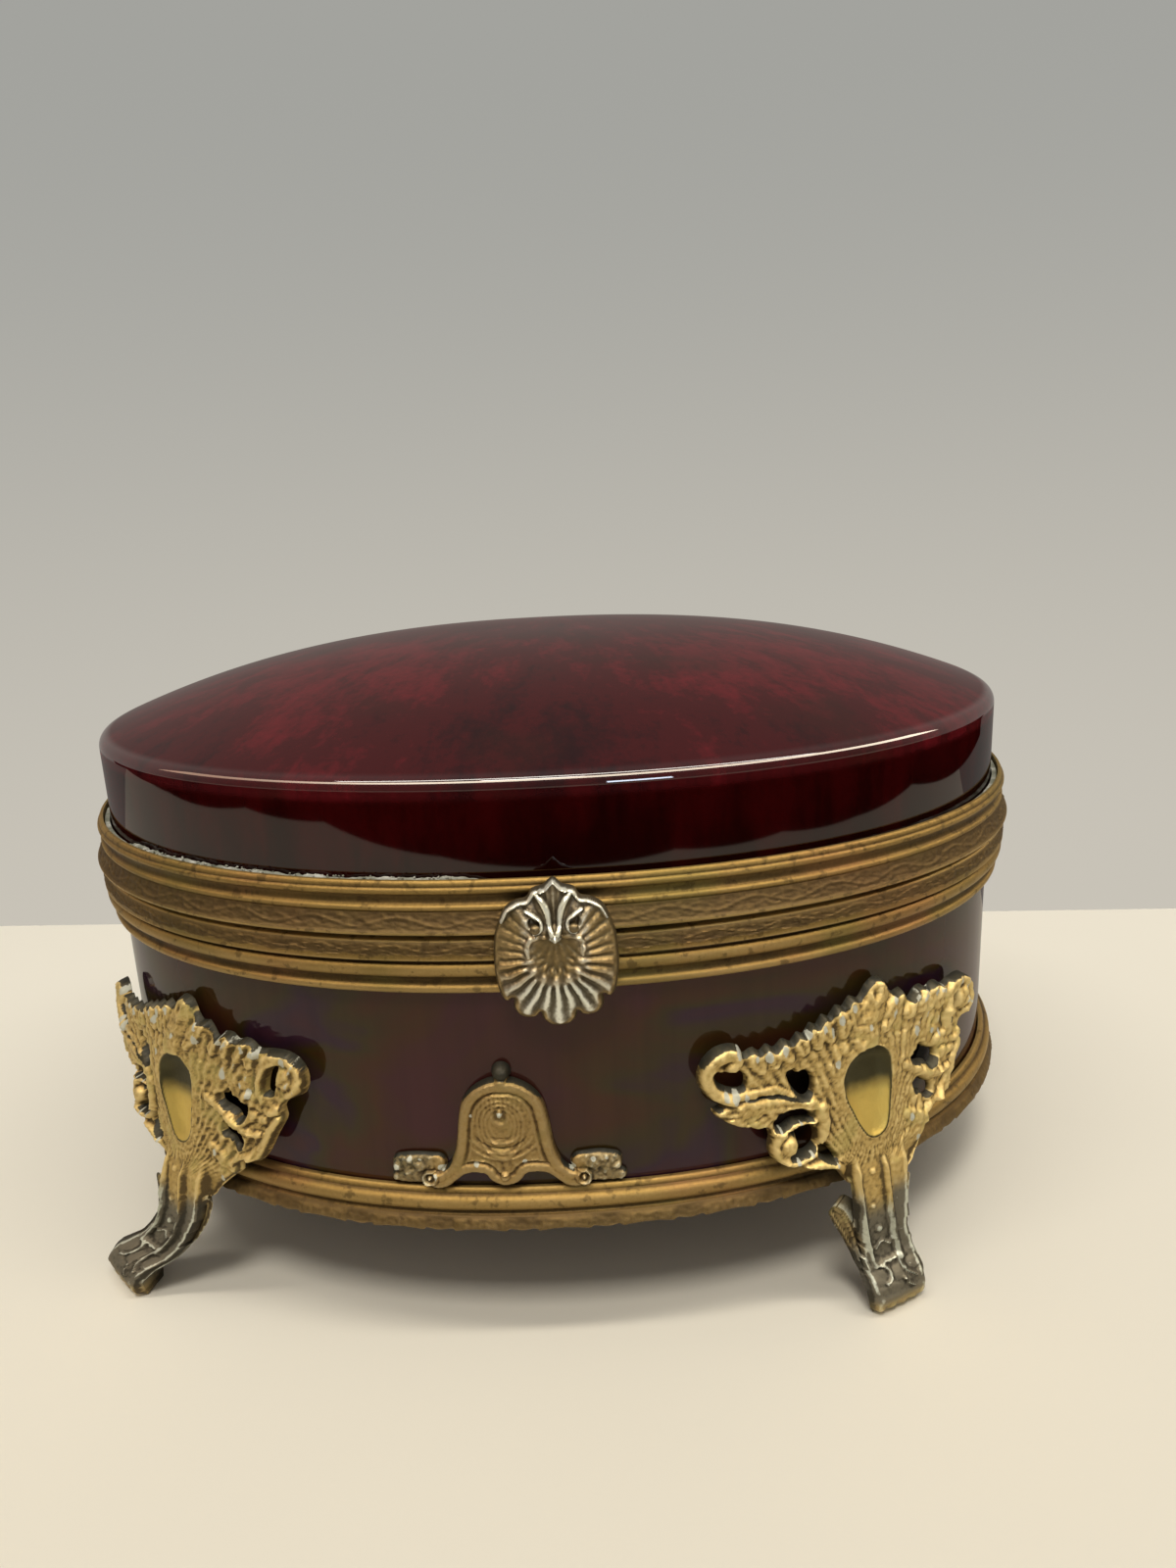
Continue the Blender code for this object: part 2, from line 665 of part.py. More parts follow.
def footHeight(share):
    """Height of a share of the plate above the band's top, or of the band's height below it."""
    plate = BODY_SHOWN - FOOT_BELOW_BEZEL
    return BAND_TOP + share * (plate if share > 0 else BAND_HEIGHT)


def footPoints(points):
    """Plate points from shares of its span along the wall and of its height."""
    return [(along * FOOT_SPAN, footHeight(share)) for along, share in points]


def footOutline():
    """Edge of a foot's plate, clockwise from its peak, as (along the wall, height)."""
    points = footPoints(FOOT_RIGHT_CREST)
    for along, share, radius, start, end, count in FOOT_RIGHT_SCROLLS:
        points += arcPoints((along * FOOT_SPAN, footHeight(share)), radius, start, end, count)
    points += footPoints(FOOT_WAIST)
    for along, share, radius, start, end, count in FOOT_LEFT_SCROLLS:
        points += arcPoints((along * FOOT_SPAN, footHeight(share)), radius, start, end, count)
    return points + footPoints(FOOT_LEFT_CREST)


def footHoles():
    """Piercings of a foot's plate: slots, a round eye and a small spandrel."""
    holes = []
    for start, end, width in FOOT_SLOTS:
        holes.append(slotPoints(*footPoints([start, end]), width))
    along, share, radius = FOOT_EYE
    holes.append(arcPoints((along * FOOT_SPAN, footHeight(share)), radius, 0, 300, 6))
    holes.append(footPoints(FOOT_SPANDREL))
    return holes


def footBacking(height):
    """Offset of the plate's back: clear of the band, then leaning in towards the wall."""
    rise = max(0, height - BAND_TOP) / (footHeight(1) - BAND_TOP)
    return BAND_REACH + GAP - FOOT_LEAN_IN * rise


def makeLeg(name, angle, toe_reach, toe_skew):
    """Curved leg from the plate's waist to a rounded toe with a flat sole, as stacked rounded sections."""
    top = BAND_REACH + GAP + LEG_INSET
    start = top + LEG_DEPTH / 2
    sections = [(BAND_TOP + GAP, 0, 0, *LEG_ROOT)]
    sections += [(share * LEG_HEIGHT, *rest) for share, *rest in LEG_SECTIONS]
    shape = bmesh.new()
    loops = []
    for height, out_share, skew_share, width, depth in sections:
        loop = []
        out = start + (toe_reach - start) * out_share
        for k in range(LEG_SIDES):
            turn = 2 * math.pi * (k + 0.5) / LEG_SIDES
            across = toe_skew * skew_share + width / 2 * math.cos(turn)
            proud = max(out + depth / 2 * math.sin(turn), top if height > BAND_BOTTOM - GAP else -1)
            loop.append(shape.verts.new(wrapped(angle, across, proud, height)))
        loops.append(loop)
    for lower, upper in zip(loops, loops[1:]):
        ringFaces(shape, lower, upper)
    shape.faces.new(loops[0])
    shape.faces.new(loops[-1])
    return addObject(name + "_leg", shape, "pewter")


def makeFoot(name, angle_degrees, toe_reach, toe_skew):
    """One foot with its lug and screw, and the hole that the screw needs in the band's flange."""
    angle = math.radians(angle_degrees)
    foot = wrappedPlate(
        name, angle, footOutline(), footHoles(), footBacking, FOOT_PLATE_THICKNESS, FOOT_WRAP_STEP, "worn_gilt"
    )
    combine(foot, makeLeg(name, angle, toe_reach, toe_skew), "UNION")

    half = LUG_WIDTH / 2
    low_top = BAND_BOTTOM - GAP
    inner_top = FLANGE_UNDER - GAP
    outer = BAND_REACH + LUG_OVERLAP
    low = (low_top - LUG_THICKNESS, low_top)
    lug = wrappedBlock(name + "_lug", angle, (-half, half), (-LUG_INSET, outer), low, 2, "worn_gilt")
    pad_out = (-LUG_INSET + GAP, BAND_INNER - 2 * GAP)
    pad_high = (low_top - LUG_THICKNESS / 2, inner_top)
    pad = wrappedBlock(name + "_lug_pad", angle, (-half + GAP, half - GAP), pad_out, pad_high, 2, "worn_gilt")
    combine(foot, lug, "UNION")
    combine(foot, pad, "UNION")

    def place(across, up, along):
        return wrapped(angle, across, -SCREW_INSET + up, along)

    head_top = low_top - LUG_THICKNESS - GAP
    shank_top = FLANGE_UNDER + FLANGE_THICKNESS - GAP
    head = [
        (SCREW_HEAD_RADIUS - SCREW_HEAD_CHAMFER, head_top - SCREW_HEAD_HEIGHT),
        (SCREW_HEAD_RADIUS, head_top - SCREW_HEAD_HEIGHT + SCREW_HEAD_CHAMFER),
    ]
    shank = [(SCREW_HEAD_RADIUS, head_top), (SCREW_RADIUS, head_top), (SCREW_RADIUS, shank_top)]
    lathe(name.replace("foot", "screw"), head + shank, SCREW_STEPS, place, "steel")
    bore = SCREW_RADIUS + GAP
    hole = [(bore, head_top - GAP), (bore, shank_top + 3 * GAP)]
    cutter = lathe(name + "_screw_hole", hole, SCREW_STEPS, place, "worn_gilt")
    combine(foot, cutter, "DIFFERENCE")
    return cutter


def bellOutline():
    """Edge of the bell mount, mirrored about its middle, as (along the wall, height)."""
    foot = BAND_TOP + GAP
    side = [(along * BELL_HALF_WIDTH, foot + share * BELL_HEIGHT) for along, share in BELL_SIDE]
    knob = arcPoints((0, foot + BELL_HEIGHT - BELL_KNOB_RADIUS), BELL_KNOB_RADIUS, 215, -35, 7)
    return knob + side + [(-along, height) for along, height in reversed(side)]


def makeBell():
    """Bell-shaped mount with scrolled wings, on the band and against the wall."""
    angle = math.radians(BELL_ANGLE)

    def backing(height):
        return GAP

    return wrappedPlate(
        "front_bell_mount", angle, bellOutline(), [], backing, BELL_THICKNESS, BELL_WRAP_STEP, "worn_gilt"
    )


def build():
    """Clears the scene and makes every piece."""
    for thing in list(bpy.data.objects):
        bpy.data.objects.remove(thing, do_unlink=True)
    makeLidPorcelain()
    makeBodyPorcelain()
    lid_bezel = makeLidBezel()
    makeBaseBezel()
    band = makeBottomBand()
    makeCementBeds()
    makeHinge()
    shell, cutters = makeShellClasp()
    for cutter in cutters:
        combine(shell, cutter, "DIFFERENCE")
        combine(lid_bezel, cutter, "DIFFERENCE")
    for name, (angle, reach, skew) in FEET.items():
        combine(band, makeFoot(name, angle, reach, skew), "DIFFERENCE")
    makeBell()


build()
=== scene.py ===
# Footed porcelain box with gilt mounts: its looks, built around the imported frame
import json
import math

import bmesh
import bpy
import numpy as np
from mathutils import Matrix, Vector


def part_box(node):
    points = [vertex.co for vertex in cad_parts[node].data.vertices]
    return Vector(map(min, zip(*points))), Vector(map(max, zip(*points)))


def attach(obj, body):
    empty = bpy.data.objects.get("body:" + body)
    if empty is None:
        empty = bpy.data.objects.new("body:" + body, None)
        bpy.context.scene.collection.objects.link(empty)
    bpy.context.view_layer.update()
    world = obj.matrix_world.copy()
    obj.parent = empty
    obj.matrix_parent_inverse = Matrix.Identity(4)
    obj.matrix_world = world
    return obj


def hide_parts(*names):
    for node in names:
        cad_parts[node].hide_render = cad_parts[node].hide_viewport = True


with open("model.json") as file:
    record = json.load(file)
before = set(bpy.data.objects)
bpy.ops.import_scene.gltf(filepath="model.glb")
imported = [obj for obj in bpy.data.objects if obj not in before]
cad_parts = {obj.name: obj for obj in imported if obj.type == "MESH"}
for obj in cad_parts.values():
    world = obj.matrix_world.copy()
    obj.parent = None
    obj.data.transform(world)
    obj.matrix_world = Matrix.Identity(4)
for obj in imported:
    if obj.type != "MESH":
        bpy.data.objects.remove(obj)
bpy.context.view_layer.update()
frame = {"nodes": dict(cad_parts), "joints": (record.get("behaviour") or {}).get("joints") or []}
mm = 0.001


# Places on the oval wall, with ornament sizes in millimetres

tubLow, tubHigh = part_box("body_porcelain")
lidLow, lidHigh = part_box("lid_porcelain")
lidRingLow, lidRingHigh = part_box("lid_bezel")
baseRingLow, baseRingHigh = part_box("base_bezel")
bandLow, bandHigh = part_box("bottom_band")

oval = {
    "halfLength": tubHigh.x / mm,
    "halfWidth": tubHigh.y / mm,
    "power": 2.166,  # 2 is an ellipse, more is squarer
}
feet = {
    # angle round the oval, how far the toe reaches out, and how far it is bent along the wall
    "FrontRight": (-58.0, 8.2, 1.8),
    "FrontLeft": (-134.8, 12.2, -12.5),
    "BackLeft": (122.0, 10.0, 1.0),
    "BackRight": (45.2, 10.0, 1.0),
}


def ovalWall(angle):
    power = oval["power"]
    c, s = np.cos(angle), np.sin(angle)
    x = np.sign(c) * np.abs(c) ** (2 / power)
    y = np.sign(s) * np.abs(s) ** (2 / power)
    nx = np.sign(x) * np.abs(x) ** (power - 1) / oval["halfLength"]
    ny = np.sign(y) * np.abs(y) ** (power - 1) / oval["halfWidth"]
    size = np.hypot(nx, ny)
    place = np.stack([x * oval["halfLength"], y * oval["halfWidth"]], -1)
    return place, np.stack([nx / size, ny / size], -1)


fineAngles = np.linspace(-math.pi, math.pi, 5761)
finePlaces = ovalWall(fineAngles)[0]
fineArc = np.concatenate([[0], np.cumsum(np.hypot(*np.diff(finePlaces, axis=0).T))])
wholeArc = fineArc[-1]


def angleAt(arc):
    return np.interp(np.mod(arc, wholeArc), fineArc, fineAngles)


def onWall(degrees, along, out, height):
    # along the wall from the point at that angle, out from it and up, in millimetres; gives metres
    start = np.interp(math.radians(degrees), fineAngles, fineArc)
    place, normal = ovalWall(angleAt(start + along))
    flat = place + normal * np.asarray(out)[..., None]
    return np.concatenate([flat, np.broadcast_to(height, flat.shape[:-1])[..., None]], -1) * mm


def ridge(away, width):
    # 1 on a line and 0 beside it
    return np.exp(-(away / width) ** 2)


def bead(x, y, wide, tall):
    # half a ball, 1 in the middle and 0 from the edge on
    return np.sqrt(np.clip(1 - (x / wide) ** 2 - (y / tall) ** 2, 0, 1))


def rounded(share):
    # 1 on a roll's middle line and 0 from its edge on
    return np.clip(1 - np.minimum(share, 1) ** 2, 0, 1)


def wave(turn):
    # between 0 and 1
    return 0.5 + 0.5 * np.cos(turn)


def smoothStep(low, high, value):
    share = np.clip((value - low) / (high - low), 0, 1)
    return share * share * (3 - 2 * share)


def grain(x, y, size, seed):
    # smooth random bumps between -1 and 1
    cells = 97  # after which they repeat
    table = np.random.RandomState(seed).uniform(-1, 1, (cells, cells))
    i, j = np.floor(x / size).astype(int), np.floor(y / size).astype(int)
    a, b = x / size - i, y / size - j
    a, b = a * a * (3 - 2 * a), b * b * (3 - 2 * b)
    i, j, k, m = i % cells, j % cells, (i + 1) % cells, (j + 1) % cells
    low = table[i, j] * (1 - a) + table[k, j] * a
    high = table[i, m] * (1 - a) + table[k, m] * a
    return low * (1 - b) + high * b


def boxBlur(table, cells, wrapped):
    # soft average over cells each way, three times; wrapped closes the columns on themselves
    for _ in range(3):
        for axis in (0, 1):
            mode = "wrap" if wrapped and axis == 1 else "edge"
            pad = [(0, 0), (0, 0)]
            pad[axis] = (cells + 1, cells)
            total = np.cumsum(np.pad(table, pad, mode=mode), axis=axis)
            high = np.take(total, range(2 * cells + 1, total.shape[axis]), axis=axis)
            low = np.take(total, range(0, total.shape[axis] - 2 * cells - 1), axis=axis)
            table = (high - low) / (2 * cells + 1)
    return table


# Materials: socket maths as expressions, and any other node from one method

class Signal:
    def __init__(self, finish, socket):
        self.finish = finish
        self.socket = socket

    def maths(self, operation, first, second, clamp=False):
        settings = {"operation": operation, "use_clamp": clamp}
        return self.finish.node("Math", settings, {0: first, 1: second})[0]

    def __add__(self, other):
        return self.maths("ADD", self, other)

    def __radd__(self, other):
        return self.maths("ADD", other, self)

    def __sub__(self, other):
        return self.maths("SUBTRACT", self, other)

    def __rsub__(self, other):
        return self.maths("SUBTRACT", other, self)

    def __mul__(self, other):
        return self.maths("MULTIPLY", self, other)

    def held(self):
        return self.maths("ADD", self, 0.0, clamp=True)


class Finish:
    def __init__(self, name, shader="BsdfPrincipled", world=None):
        self.owner = world or bpy.data.materials.new(name)
        self.owner.use_nodes = True
        self.tree = self.owner.node_tree
        self.tree.nodes.clear()
        self.shader = self.tree.nodes.new("ShaderNode" + shader)
        self.out = self.tree.nodes.new("ShaderNodeOutput" + ("World" if world else "Material"))
        self.tree.links.new(self.shader.outputs[0], self.out.inputs["Surface"])

    def plug(self, socket, value):
        if isinstance(value, Signal):
            self.tree.links.new(value.socket, socket)
        else:
            socket.default_value = value

    def node(self, kind, settings=None, sockets=None):
        made = self.tree.nodes.new("ShaderNode" + kind)
        for key, value in (settings or {}).items():
            if key == "stops":
                while len(made.color_ramp.elements) < len(value):
                    made.color_ramp.elements.new(0.5)
                for element, (position, colour) in zip(made.color_ramp.elements, value):
                    element.position = position
                    element.color = (*colour, 1)
            else:
                setattr(made, key, value)
        for key, value in (sockets or {}).items():
            self.plug(made.inputs[key], value)
        return [Signal(self, socket) for socket in made.outputs]

    def set(self, **values):
        for key, value in values.items():
            self.plug(self.shader.inputs[key.replace("_", " ")], value)
        return self

    def place(self):
        return self.node("TexCoord")[3]

    def part(self, place, axis):
        return self.node("SeparateXYZ", {}, {0: place})[axis]

    def vector(self, operation, first, second):
        return self.node("VectorMath", {"operation": operation}, {0: first, 1: second})[0]

    def near(self, place, spot, reach, whole=0.0):
        # 1 within whole of the spot and 0 from reach on
        away = self.node("VectorMath", {"operation": "DISTANCE"}, {0: place, 1: spot})[1]
        return self.between(away, reach, whole)

    def attribute(self, name):
        return self.node("Attribute", {"attribute_name": name})[2]

    def stretched(self, place, scale):
        return self.node("Mapping", {}, {"Vector": place, "Scale": scale})[0]

    def noise(self, place, scale, detail=3.0, roughness=0.55, distortion=0.0):
        sockets = {"Vector": place, "Scale": scale, "Detail": detail, "Roughness": roughness}
        sockets["Distortion"] = distortion
        return self.node("TexNoise", {}, sockets)[0]

    def between(self, value, low, high):
        sockets = {"Value": value, "From Min": low, "From Max": high}
        return self.node("MapRange", {"interpolation_type": "SMOOTHSTEP"}, sockets)[0]

    def mix(self, share, first, second):
        colours = [c if isinstance(c, Signal) else (*c, 1) for c in (first, second)]
        sockets = {0: share, 6: colours[0], 7: colours[1]}
        return self.node("Mix", {"data_type": "RGBA"}, sockets)[2]

    def ramp(self, value, stops):
        return self.node("ValToRGB", {"stops": stops}, {"Fac": value})[0]

    def bump(self, height, distance, strength):
        return self.node("Bump", {}, {"Height": height, "Distance": distance, "Strength": strength})[0]


oxbloodLook = {
    "nearBlack": (0.0200, 0.0040, 0.0050),
    "maroon": (0.0520, 0.0050, 0.0062),
    "crimson": (0.1200, 0.0075, 0.0115),
    "brown": (0.0300, 0.0085, 0.0060),
    "wallDark": (0.0100, 0.0006, 0.0005),
    "wallRed": (0.0300, 0.0010, 0.0013),
    "wallTop": 0.1056,
    # redder and darker clouds: how strong, then places and their reach
    "flushes": (0.13, (((-0.040, -0.044, 0.118), 0.060), ((0.054, -0.044, 0.116), 0.072))),
    "dusks": (-0.09, (
        ((-0.004, -0.068, 0.114), 0.048),
        ((0.055, -0.066, 0.112), 0.030),
        ((-0.060, -0.058, 0.112), 0.030),
    )),
    "heart": (0.0, 0.05, 0.0),
    "gloss": 0.45,
    "creaseGloss": 1.0,
    "crease": (0.1078, 0.1107),
    "coatRoughness": 0.03,
}


def oxbloodGlaze():
    # streaks run out from the heart of the dome, and down the upright wall
    look = oxbloodLook
    finish = Finish("oxbloodGlaze")
    place = finish.place()
    away = finish.vector("SUBTRACT", place, look["heart"])
    flat = finish.vector("MULTIPLY", away, (1.0, 1.3, 0.0))
    aim = finish.node("VectorMath", {"operation": "NORMALIZE"}, {0: flat})[0]
    drift = finish.node("VectorMath", {"operation": "SCALE"}, {0: flat, "Scale": 5.0})[0]
    run = finish.vector("ADD", aim, drift)
    rays = finish.noise(run, 9.0, 6.0, 0.62, 0.25)
    wisps = finish.noise(run, 34.0, 3.0, 0.6)
    patches = finish.noise(place, 26.0, 4.0, 0.6, 0.4)
    speckle = finish.noise(place, 700.0, 2.0, 0.6)
    cloud = rays * 0.50 + patches * 0.30 + wisps * 0.20 + (speckle - 0.5) * 0.16
    for strength, spots in (look["flushes"], look["dusks"]):
        for spot, reach in spots:
            cloud = cloud + finish.near(place, spot, reach) * strength
    stops = ((0.0, look["nearBlack"]), (0.35, look["maroon"]), (0.55, look["maroon"]), (1.0, look["crimson"]))
    colour = finish.ramp(finish.between(cloud, 0.30, 0.74), stops)
    brown = finish.between(finish.noise(place, 41.0, 3.0, 0.5), 0.50, 0.70) * 0.55
    colour = finish.mix(brown, colour, look["brown"])
    height = finish.part(place, 2)
    falls = finish.noise(finish.stretched(place, (1.0, 1.0, 0.22)), 130.0, 5.0, 0.65)
    nearTop = finish.between(height, look["wallTop"] - 0.018, look["wallTop"] + 0.001)
    fall = falls + nearTop * 0.14 + (patches - 0.5) * 0.3
    wall = finish.mix(finish.between(fall, 0.44, 0.80), look["wallDark"], look["wallRed"])
    colour = finish.mix(finish.between(height, look["wallTop"], look["wallTop"] + 0.0016), wall, colour)
    ripple = finish.bump(finish.noise(place, 60.0, 2.0, 0.4), 0.00010, 0.45)
    low, high = look["crease"]
    crease = finish.between(height, low, low + 0.0005) * finish.between(height, high, high - 0.0007)
    gloss = look["gloss"] + crease * (look["creaseGloss"] - look["gloss"])
    finish.set(Base_Color=colour, Roughness=0.5, Specular_IOR_Level=0.0, Normal=ripple, IOR=1.5)
    finish.set(Coat_Weight=gloss, Coat_IOR=1.8, Coat_Roughness=look["coatRoughness"])
    return finish.owner


aubergineLook = {
    "plum": (0.0480, 0.0120, 0.0140),
    "brown": (0.0480, 0.0170, 0.0060),
    "olive": (0.0360, 0.0225, 0.0060),
    "blue": (0.0320, 0.0125, 0.0225),
    "streak": (0.010, 0.004, 0.005),
    "lustreScale": 26.0,
    "gloss": 0.52,
    "coatRoughness": 0.06,
    # colour of the painted shade behind the feet
    "paintedShade": (0.0060, 0.0040, 0.0035),
    # along, height and reach of the painted shade behind each foot's openings, in millimetres
    "paintedShadeAt": ((14.2, 44.0, 9.5), (-15.0, 47.0, 7.0), (-15.5, 39.0, 7.0)),
}


def aubergineGlaze():
    look = aubergineLook
    finish = Finish("aubergineGlaze")
    place = finish.place()
    drift = finish.noise(finish.stretched(place, (1.0, 1.0, 1.5)), look["lustreScale"], 3.0, 0.5, 0.8)
    tints = ((0.34, "plum"), (0.46, "brown"), (0.55, "olive"), (0.62, "blue"), (0.72, "plum"))
    colour = finish.ramp(drift, [(stop, look[tint]) for stop, tint in tints])
    streak = finish.noise(finish.stretched(place, (260.0, 260.0, 14.0)), 1.0, 3.0, 0.6)
    colour = finish.mix(finish.between(streak, 0.35, 0.75) * 0.18, colour, look["streak"])
    # painted shade round each foot's openings: a darker colour and a thinner coat, so a darker reflection
    # there
    shade = 0.0
    for degrees, _, _ in feet.values():
        for along, high, reach in look["paintedShadeAt"]:
            spot = [float(c) for c in onWall(degrees, np.array(along), 0.0, high)]
            shade = finish.near(place, spot, reach * mm, reach * mm * 0.6) + shade
    shade = shade.held()
    colour = finish.mix(shade * 0.85, colour, look["paintedShade"])
    ripple = finish.bump(finish.noise(place, 45.0, 2.0, 0.4), 0.00010, 0.5)
    finish.set(Base_Color=colour, Roughness=0.5, Specular_IOR_Level=0.0, Normal=ripple, IOR=1.5)
    finish.set(Coat_Weight=(1 - shade * 0.8) * look["gloss"], Coat_Roughness=look["coatRoughness"])
    return finish.owner


whiteLook = {
    "grey": (0.60, 0.575, 0.515),
    "pale": (0.66, 0.64, 0.595),
    "crackle": (0.40, 0.345, 0.27),
    "crackleScale": 130.0,
}


def whiteGlaze():
    look = whiteLook
    finish = Finish("whiteGlaze")
    place = finish.place()
    tint = finish.noise(place, 22.0, 3.0, 0.5)
    sockets = {"Vector": place, "Scale": look["crackleScale"]}
    crackle = finish.node("TexVoronoi", {"feature": "DISTANCE_TO_EDGE"}, sockets)[0]
    colour = finish.mix(tint, look["grey"], look["pale"])
    colour = finish.mix(finish.between(crackle, 0.028, 0.0) * 0.30, colour, look["crackle"])
    ripple = finish.bump(finish.noise(place, 50.0, 2.0, 0.4), 0.00010, 0.5)
    finish.set(Base_Color=colour, Roughness=0.22, Coat_Weight=0.8, Coat_Roughness=0.05, Normal=ripple)
    return finish.owner


giltLook = {
    # stops from hollow to bright: partly painted shade in hollows and painted highlights on proud places
    "hollow": (0.032, 0.018, 0.006),
    "worn": (0.120, 0.074, 0.024),
    "gold": (0.260, 0.168, 0.050),
    "bright": (0.370, 0.256, 0.098),
    "olive": (0.140, 0.118, 0.028),
    "copper": (0.270, 0.122, 0.050),
    "brown": (0.112, 0.074, 0.035),
}


def giltMetal():
    # layers: tone is hollow to proud, partly dirt and wear and partly painted shade in hollows and painted
    # highlights on proud places; chased is where the surface is worked and dull
    look = giltLook
    finish = Finish("giltMetal")
    place = finish.place()
    tone, chased = finish.attribute("tone"), finish.attribute("chased")
    smear = finish.noise(finish.stretched(place, (1.0, 1.0, 6.0)), 45.0, 4.0, 0.6)
    fine = finish.noise(place, 1500.0, 2.0, 0.6)
    level = tone + (smear - 0.5) * 0.35 + (fine - 0.5) * 0.22
    stops = ((0.18, look["hollow"]), (0.42, look["worn"]), (0.62, look["gold"]), (0.88, look["bright"]))
    colour = finish.ramp(level, stops)
    olive = finish.between(finish.noise(place, 38.0, 2.0, 0.5), 0.50, 0.68)
    colour = finish.mix(olive * 0.45, colour, look["olive"])
    copper = finish.between(finish.noise(place, 27.0, 3.0, 0.6), 0.52, 0.72)
    colour = finish.mix(copper * 0.45, colour, look["copper"])
    spots = finish.between(finish.noise(place, 420.0, 3.0, 0.6), 0.56, 0.66)
    colour = finish.mix(spots * 0.5, colour, look["hollow"])
    dull = chased * (0.55 + fine * 0.5)
    colour = finish.mix(dull.held(), colour, finish.mix(level.held(), look["hollow"], look["brown"]))
    grit = finish.bump(finish.noise(place, 2600.0, 3.0, 0.7), 0.00006, 0.7)
    finish.set(Base_Color=colour, Metallic=0.85, Normal=grit)
    finish.set(Roughness=(0.58 + chased * 0.08 + (smear - 0.5) * 0.2).held())
    return finish.owner


castLook = {
    # stops from hollow to bright: partly painted shade in hollows and painted highlights on proud places
    "hollow": (0.100, 0.064, 0.021),
    "gold": (0.470, 0.328, 0.108),
    "bright": (0.670, 0.515, 0.220),
    # dark of the patina, and of painted shade on upward edges
    "dark": (0.013, 0.014, 0.008),
    # pale colour of wear and of painted highlights on lobe noses
    "chip": (0.520, 0.515, 0.415),
    "pewterLow": (0.040, 0.034, 0.022),
    "pewter": (0.150, 0.133, 0.095),
    "pewterHigh": (0.560, 0.575, 0.480),
    "brown": (0.175, 0.096, 0.031),
    # colours of the dish's painted reflection: dark at its top and bright gold below
    "dishShadeColour": (0.066, 0.058, 0.027),
    "dishLitColour": (0.700, 0.520, 0.140),
    "green": (0.440, 0.380, 0.120),
    "metallic": 0.62,
    "roughness": 0.59,
}


def castMetal():
    # layers: tone from hollow to proud, partly dirt and wear and partly painted shade and highlight;
    # patina, dark on upward edges as real patina and painted shade; pale wear that is also painted highlight;
    # ungilded grey pewter; duller brown gilding; and the polished dish, painted dark at its top and bright
    # below as a painted reflection
    look = castLook
    finish = Finish("castMetal")
    place = finish.place()
    tone, patina = finish.attribute("tone"), finish.attribute("patina")
    chip, pewter = finish.attribute("chip"), finish.attribute("pewter")
    brown, bowl = finish.attribute("brown"), finish.attribute("bowl")
    fine = finish.noise(place, 1300.0, 2.0, 0.65)
    cloud = finish.noise(place, 160.0, 3.0, 0.6)
    level = tone + (fine - 0.5) * 0.45 + (cloud - 0.5) * 0.25
    gilt = finish.ramp(level, ((0.15, look["hollow"]), (0.48, look["gold"]), (0.85, look["bright"])))
    gilt = finish.mix(finish.between(cloud, 0.50, 0.66) * 0.40, gilt, look["green"])
    gilt = finish.mix(brown * (0.45 + level * 0.5), gilt, look["brown"])
    greys = ((0.20, "pewterLow"), (0.48, "pewter"), (0.72, "pewter"), (0.97, "pewterHigh"))
    grey = finish.ramp(level, [(stop, look[tint]) for stop, tint in greys])
    colour = finish.mix(pewter, gilt, grey)
    # the dish painted dark at its top and bright at its bottom as a painted reflection, and made smoother
    polish = finish.between(bowl, 0.04, 0.20)
    glow = finish.between(bowl + (cloud - 0.5) * 0.3, 0.30, 0.85)
    colour = finish.mix(polish, colour, finish.mix(glow, look["dishShadeColour"], look["dishLitColour"]))
    # patina, with painted shade and a painted dark reflection on upward edges
    dark = finish.between(patina + (fine - 0.5) * 0.5 + (cloud - 0.5) * 0.4, 0.42, 0.66)
    colour = finish.mix(dark * 0.95, colour, look["dark"])
    # pale wear, which also stands in for painted highlights on lobe noses and ridges
    pale = finish.between(chip + (fine - 0.5) * 0.9 + (cloud - 0.5) * 0.5, 0.42, 0.68)
    colour = finish.mix(pale, colour, look["chip"])
    grit = finish.bump(finish.noise(place, 2300.0, 3.0, 0.7), 0.00008, 0.8)
    metallic = (look["metallic"] - pale * 0.4 - dark * 0.2 + polish * 0.25).held()
    finish.set(Base_Color=colour, Normal=grit, Metallic=metallic)
    finish.set(Roughness=(look["roughness"] + pale * 0.05 - polish * 0.14 + (fine - 0.5) * 0.2).held())
    return finish.owner


shellLook = {
    # each from its hollows to its high places; the dark hollows and pale high places are partly painted shade
    # and highlight
    "worn": ((0.22, (0.120, 0.092, 0.055)), (0.55, (0.30, 0.24, 0.15)), (0.80, (0.62, 0.57, 0.44))),
    "silver": ((0.26, (0.110, 0.092, 0.060)), (0.52, (0.285, 0.265, 0.205)), (0.76, (0.80, 0.80, 0.70))),
    "brass": ((0.22, (0.120, 0.086, 0.038)), (0.55, (0.200, 0.140, 0.057)), (0.85, (0.40, 0.28, 0.125))),
    "metallic": 0.75,
    "roughness": 0.45,
}


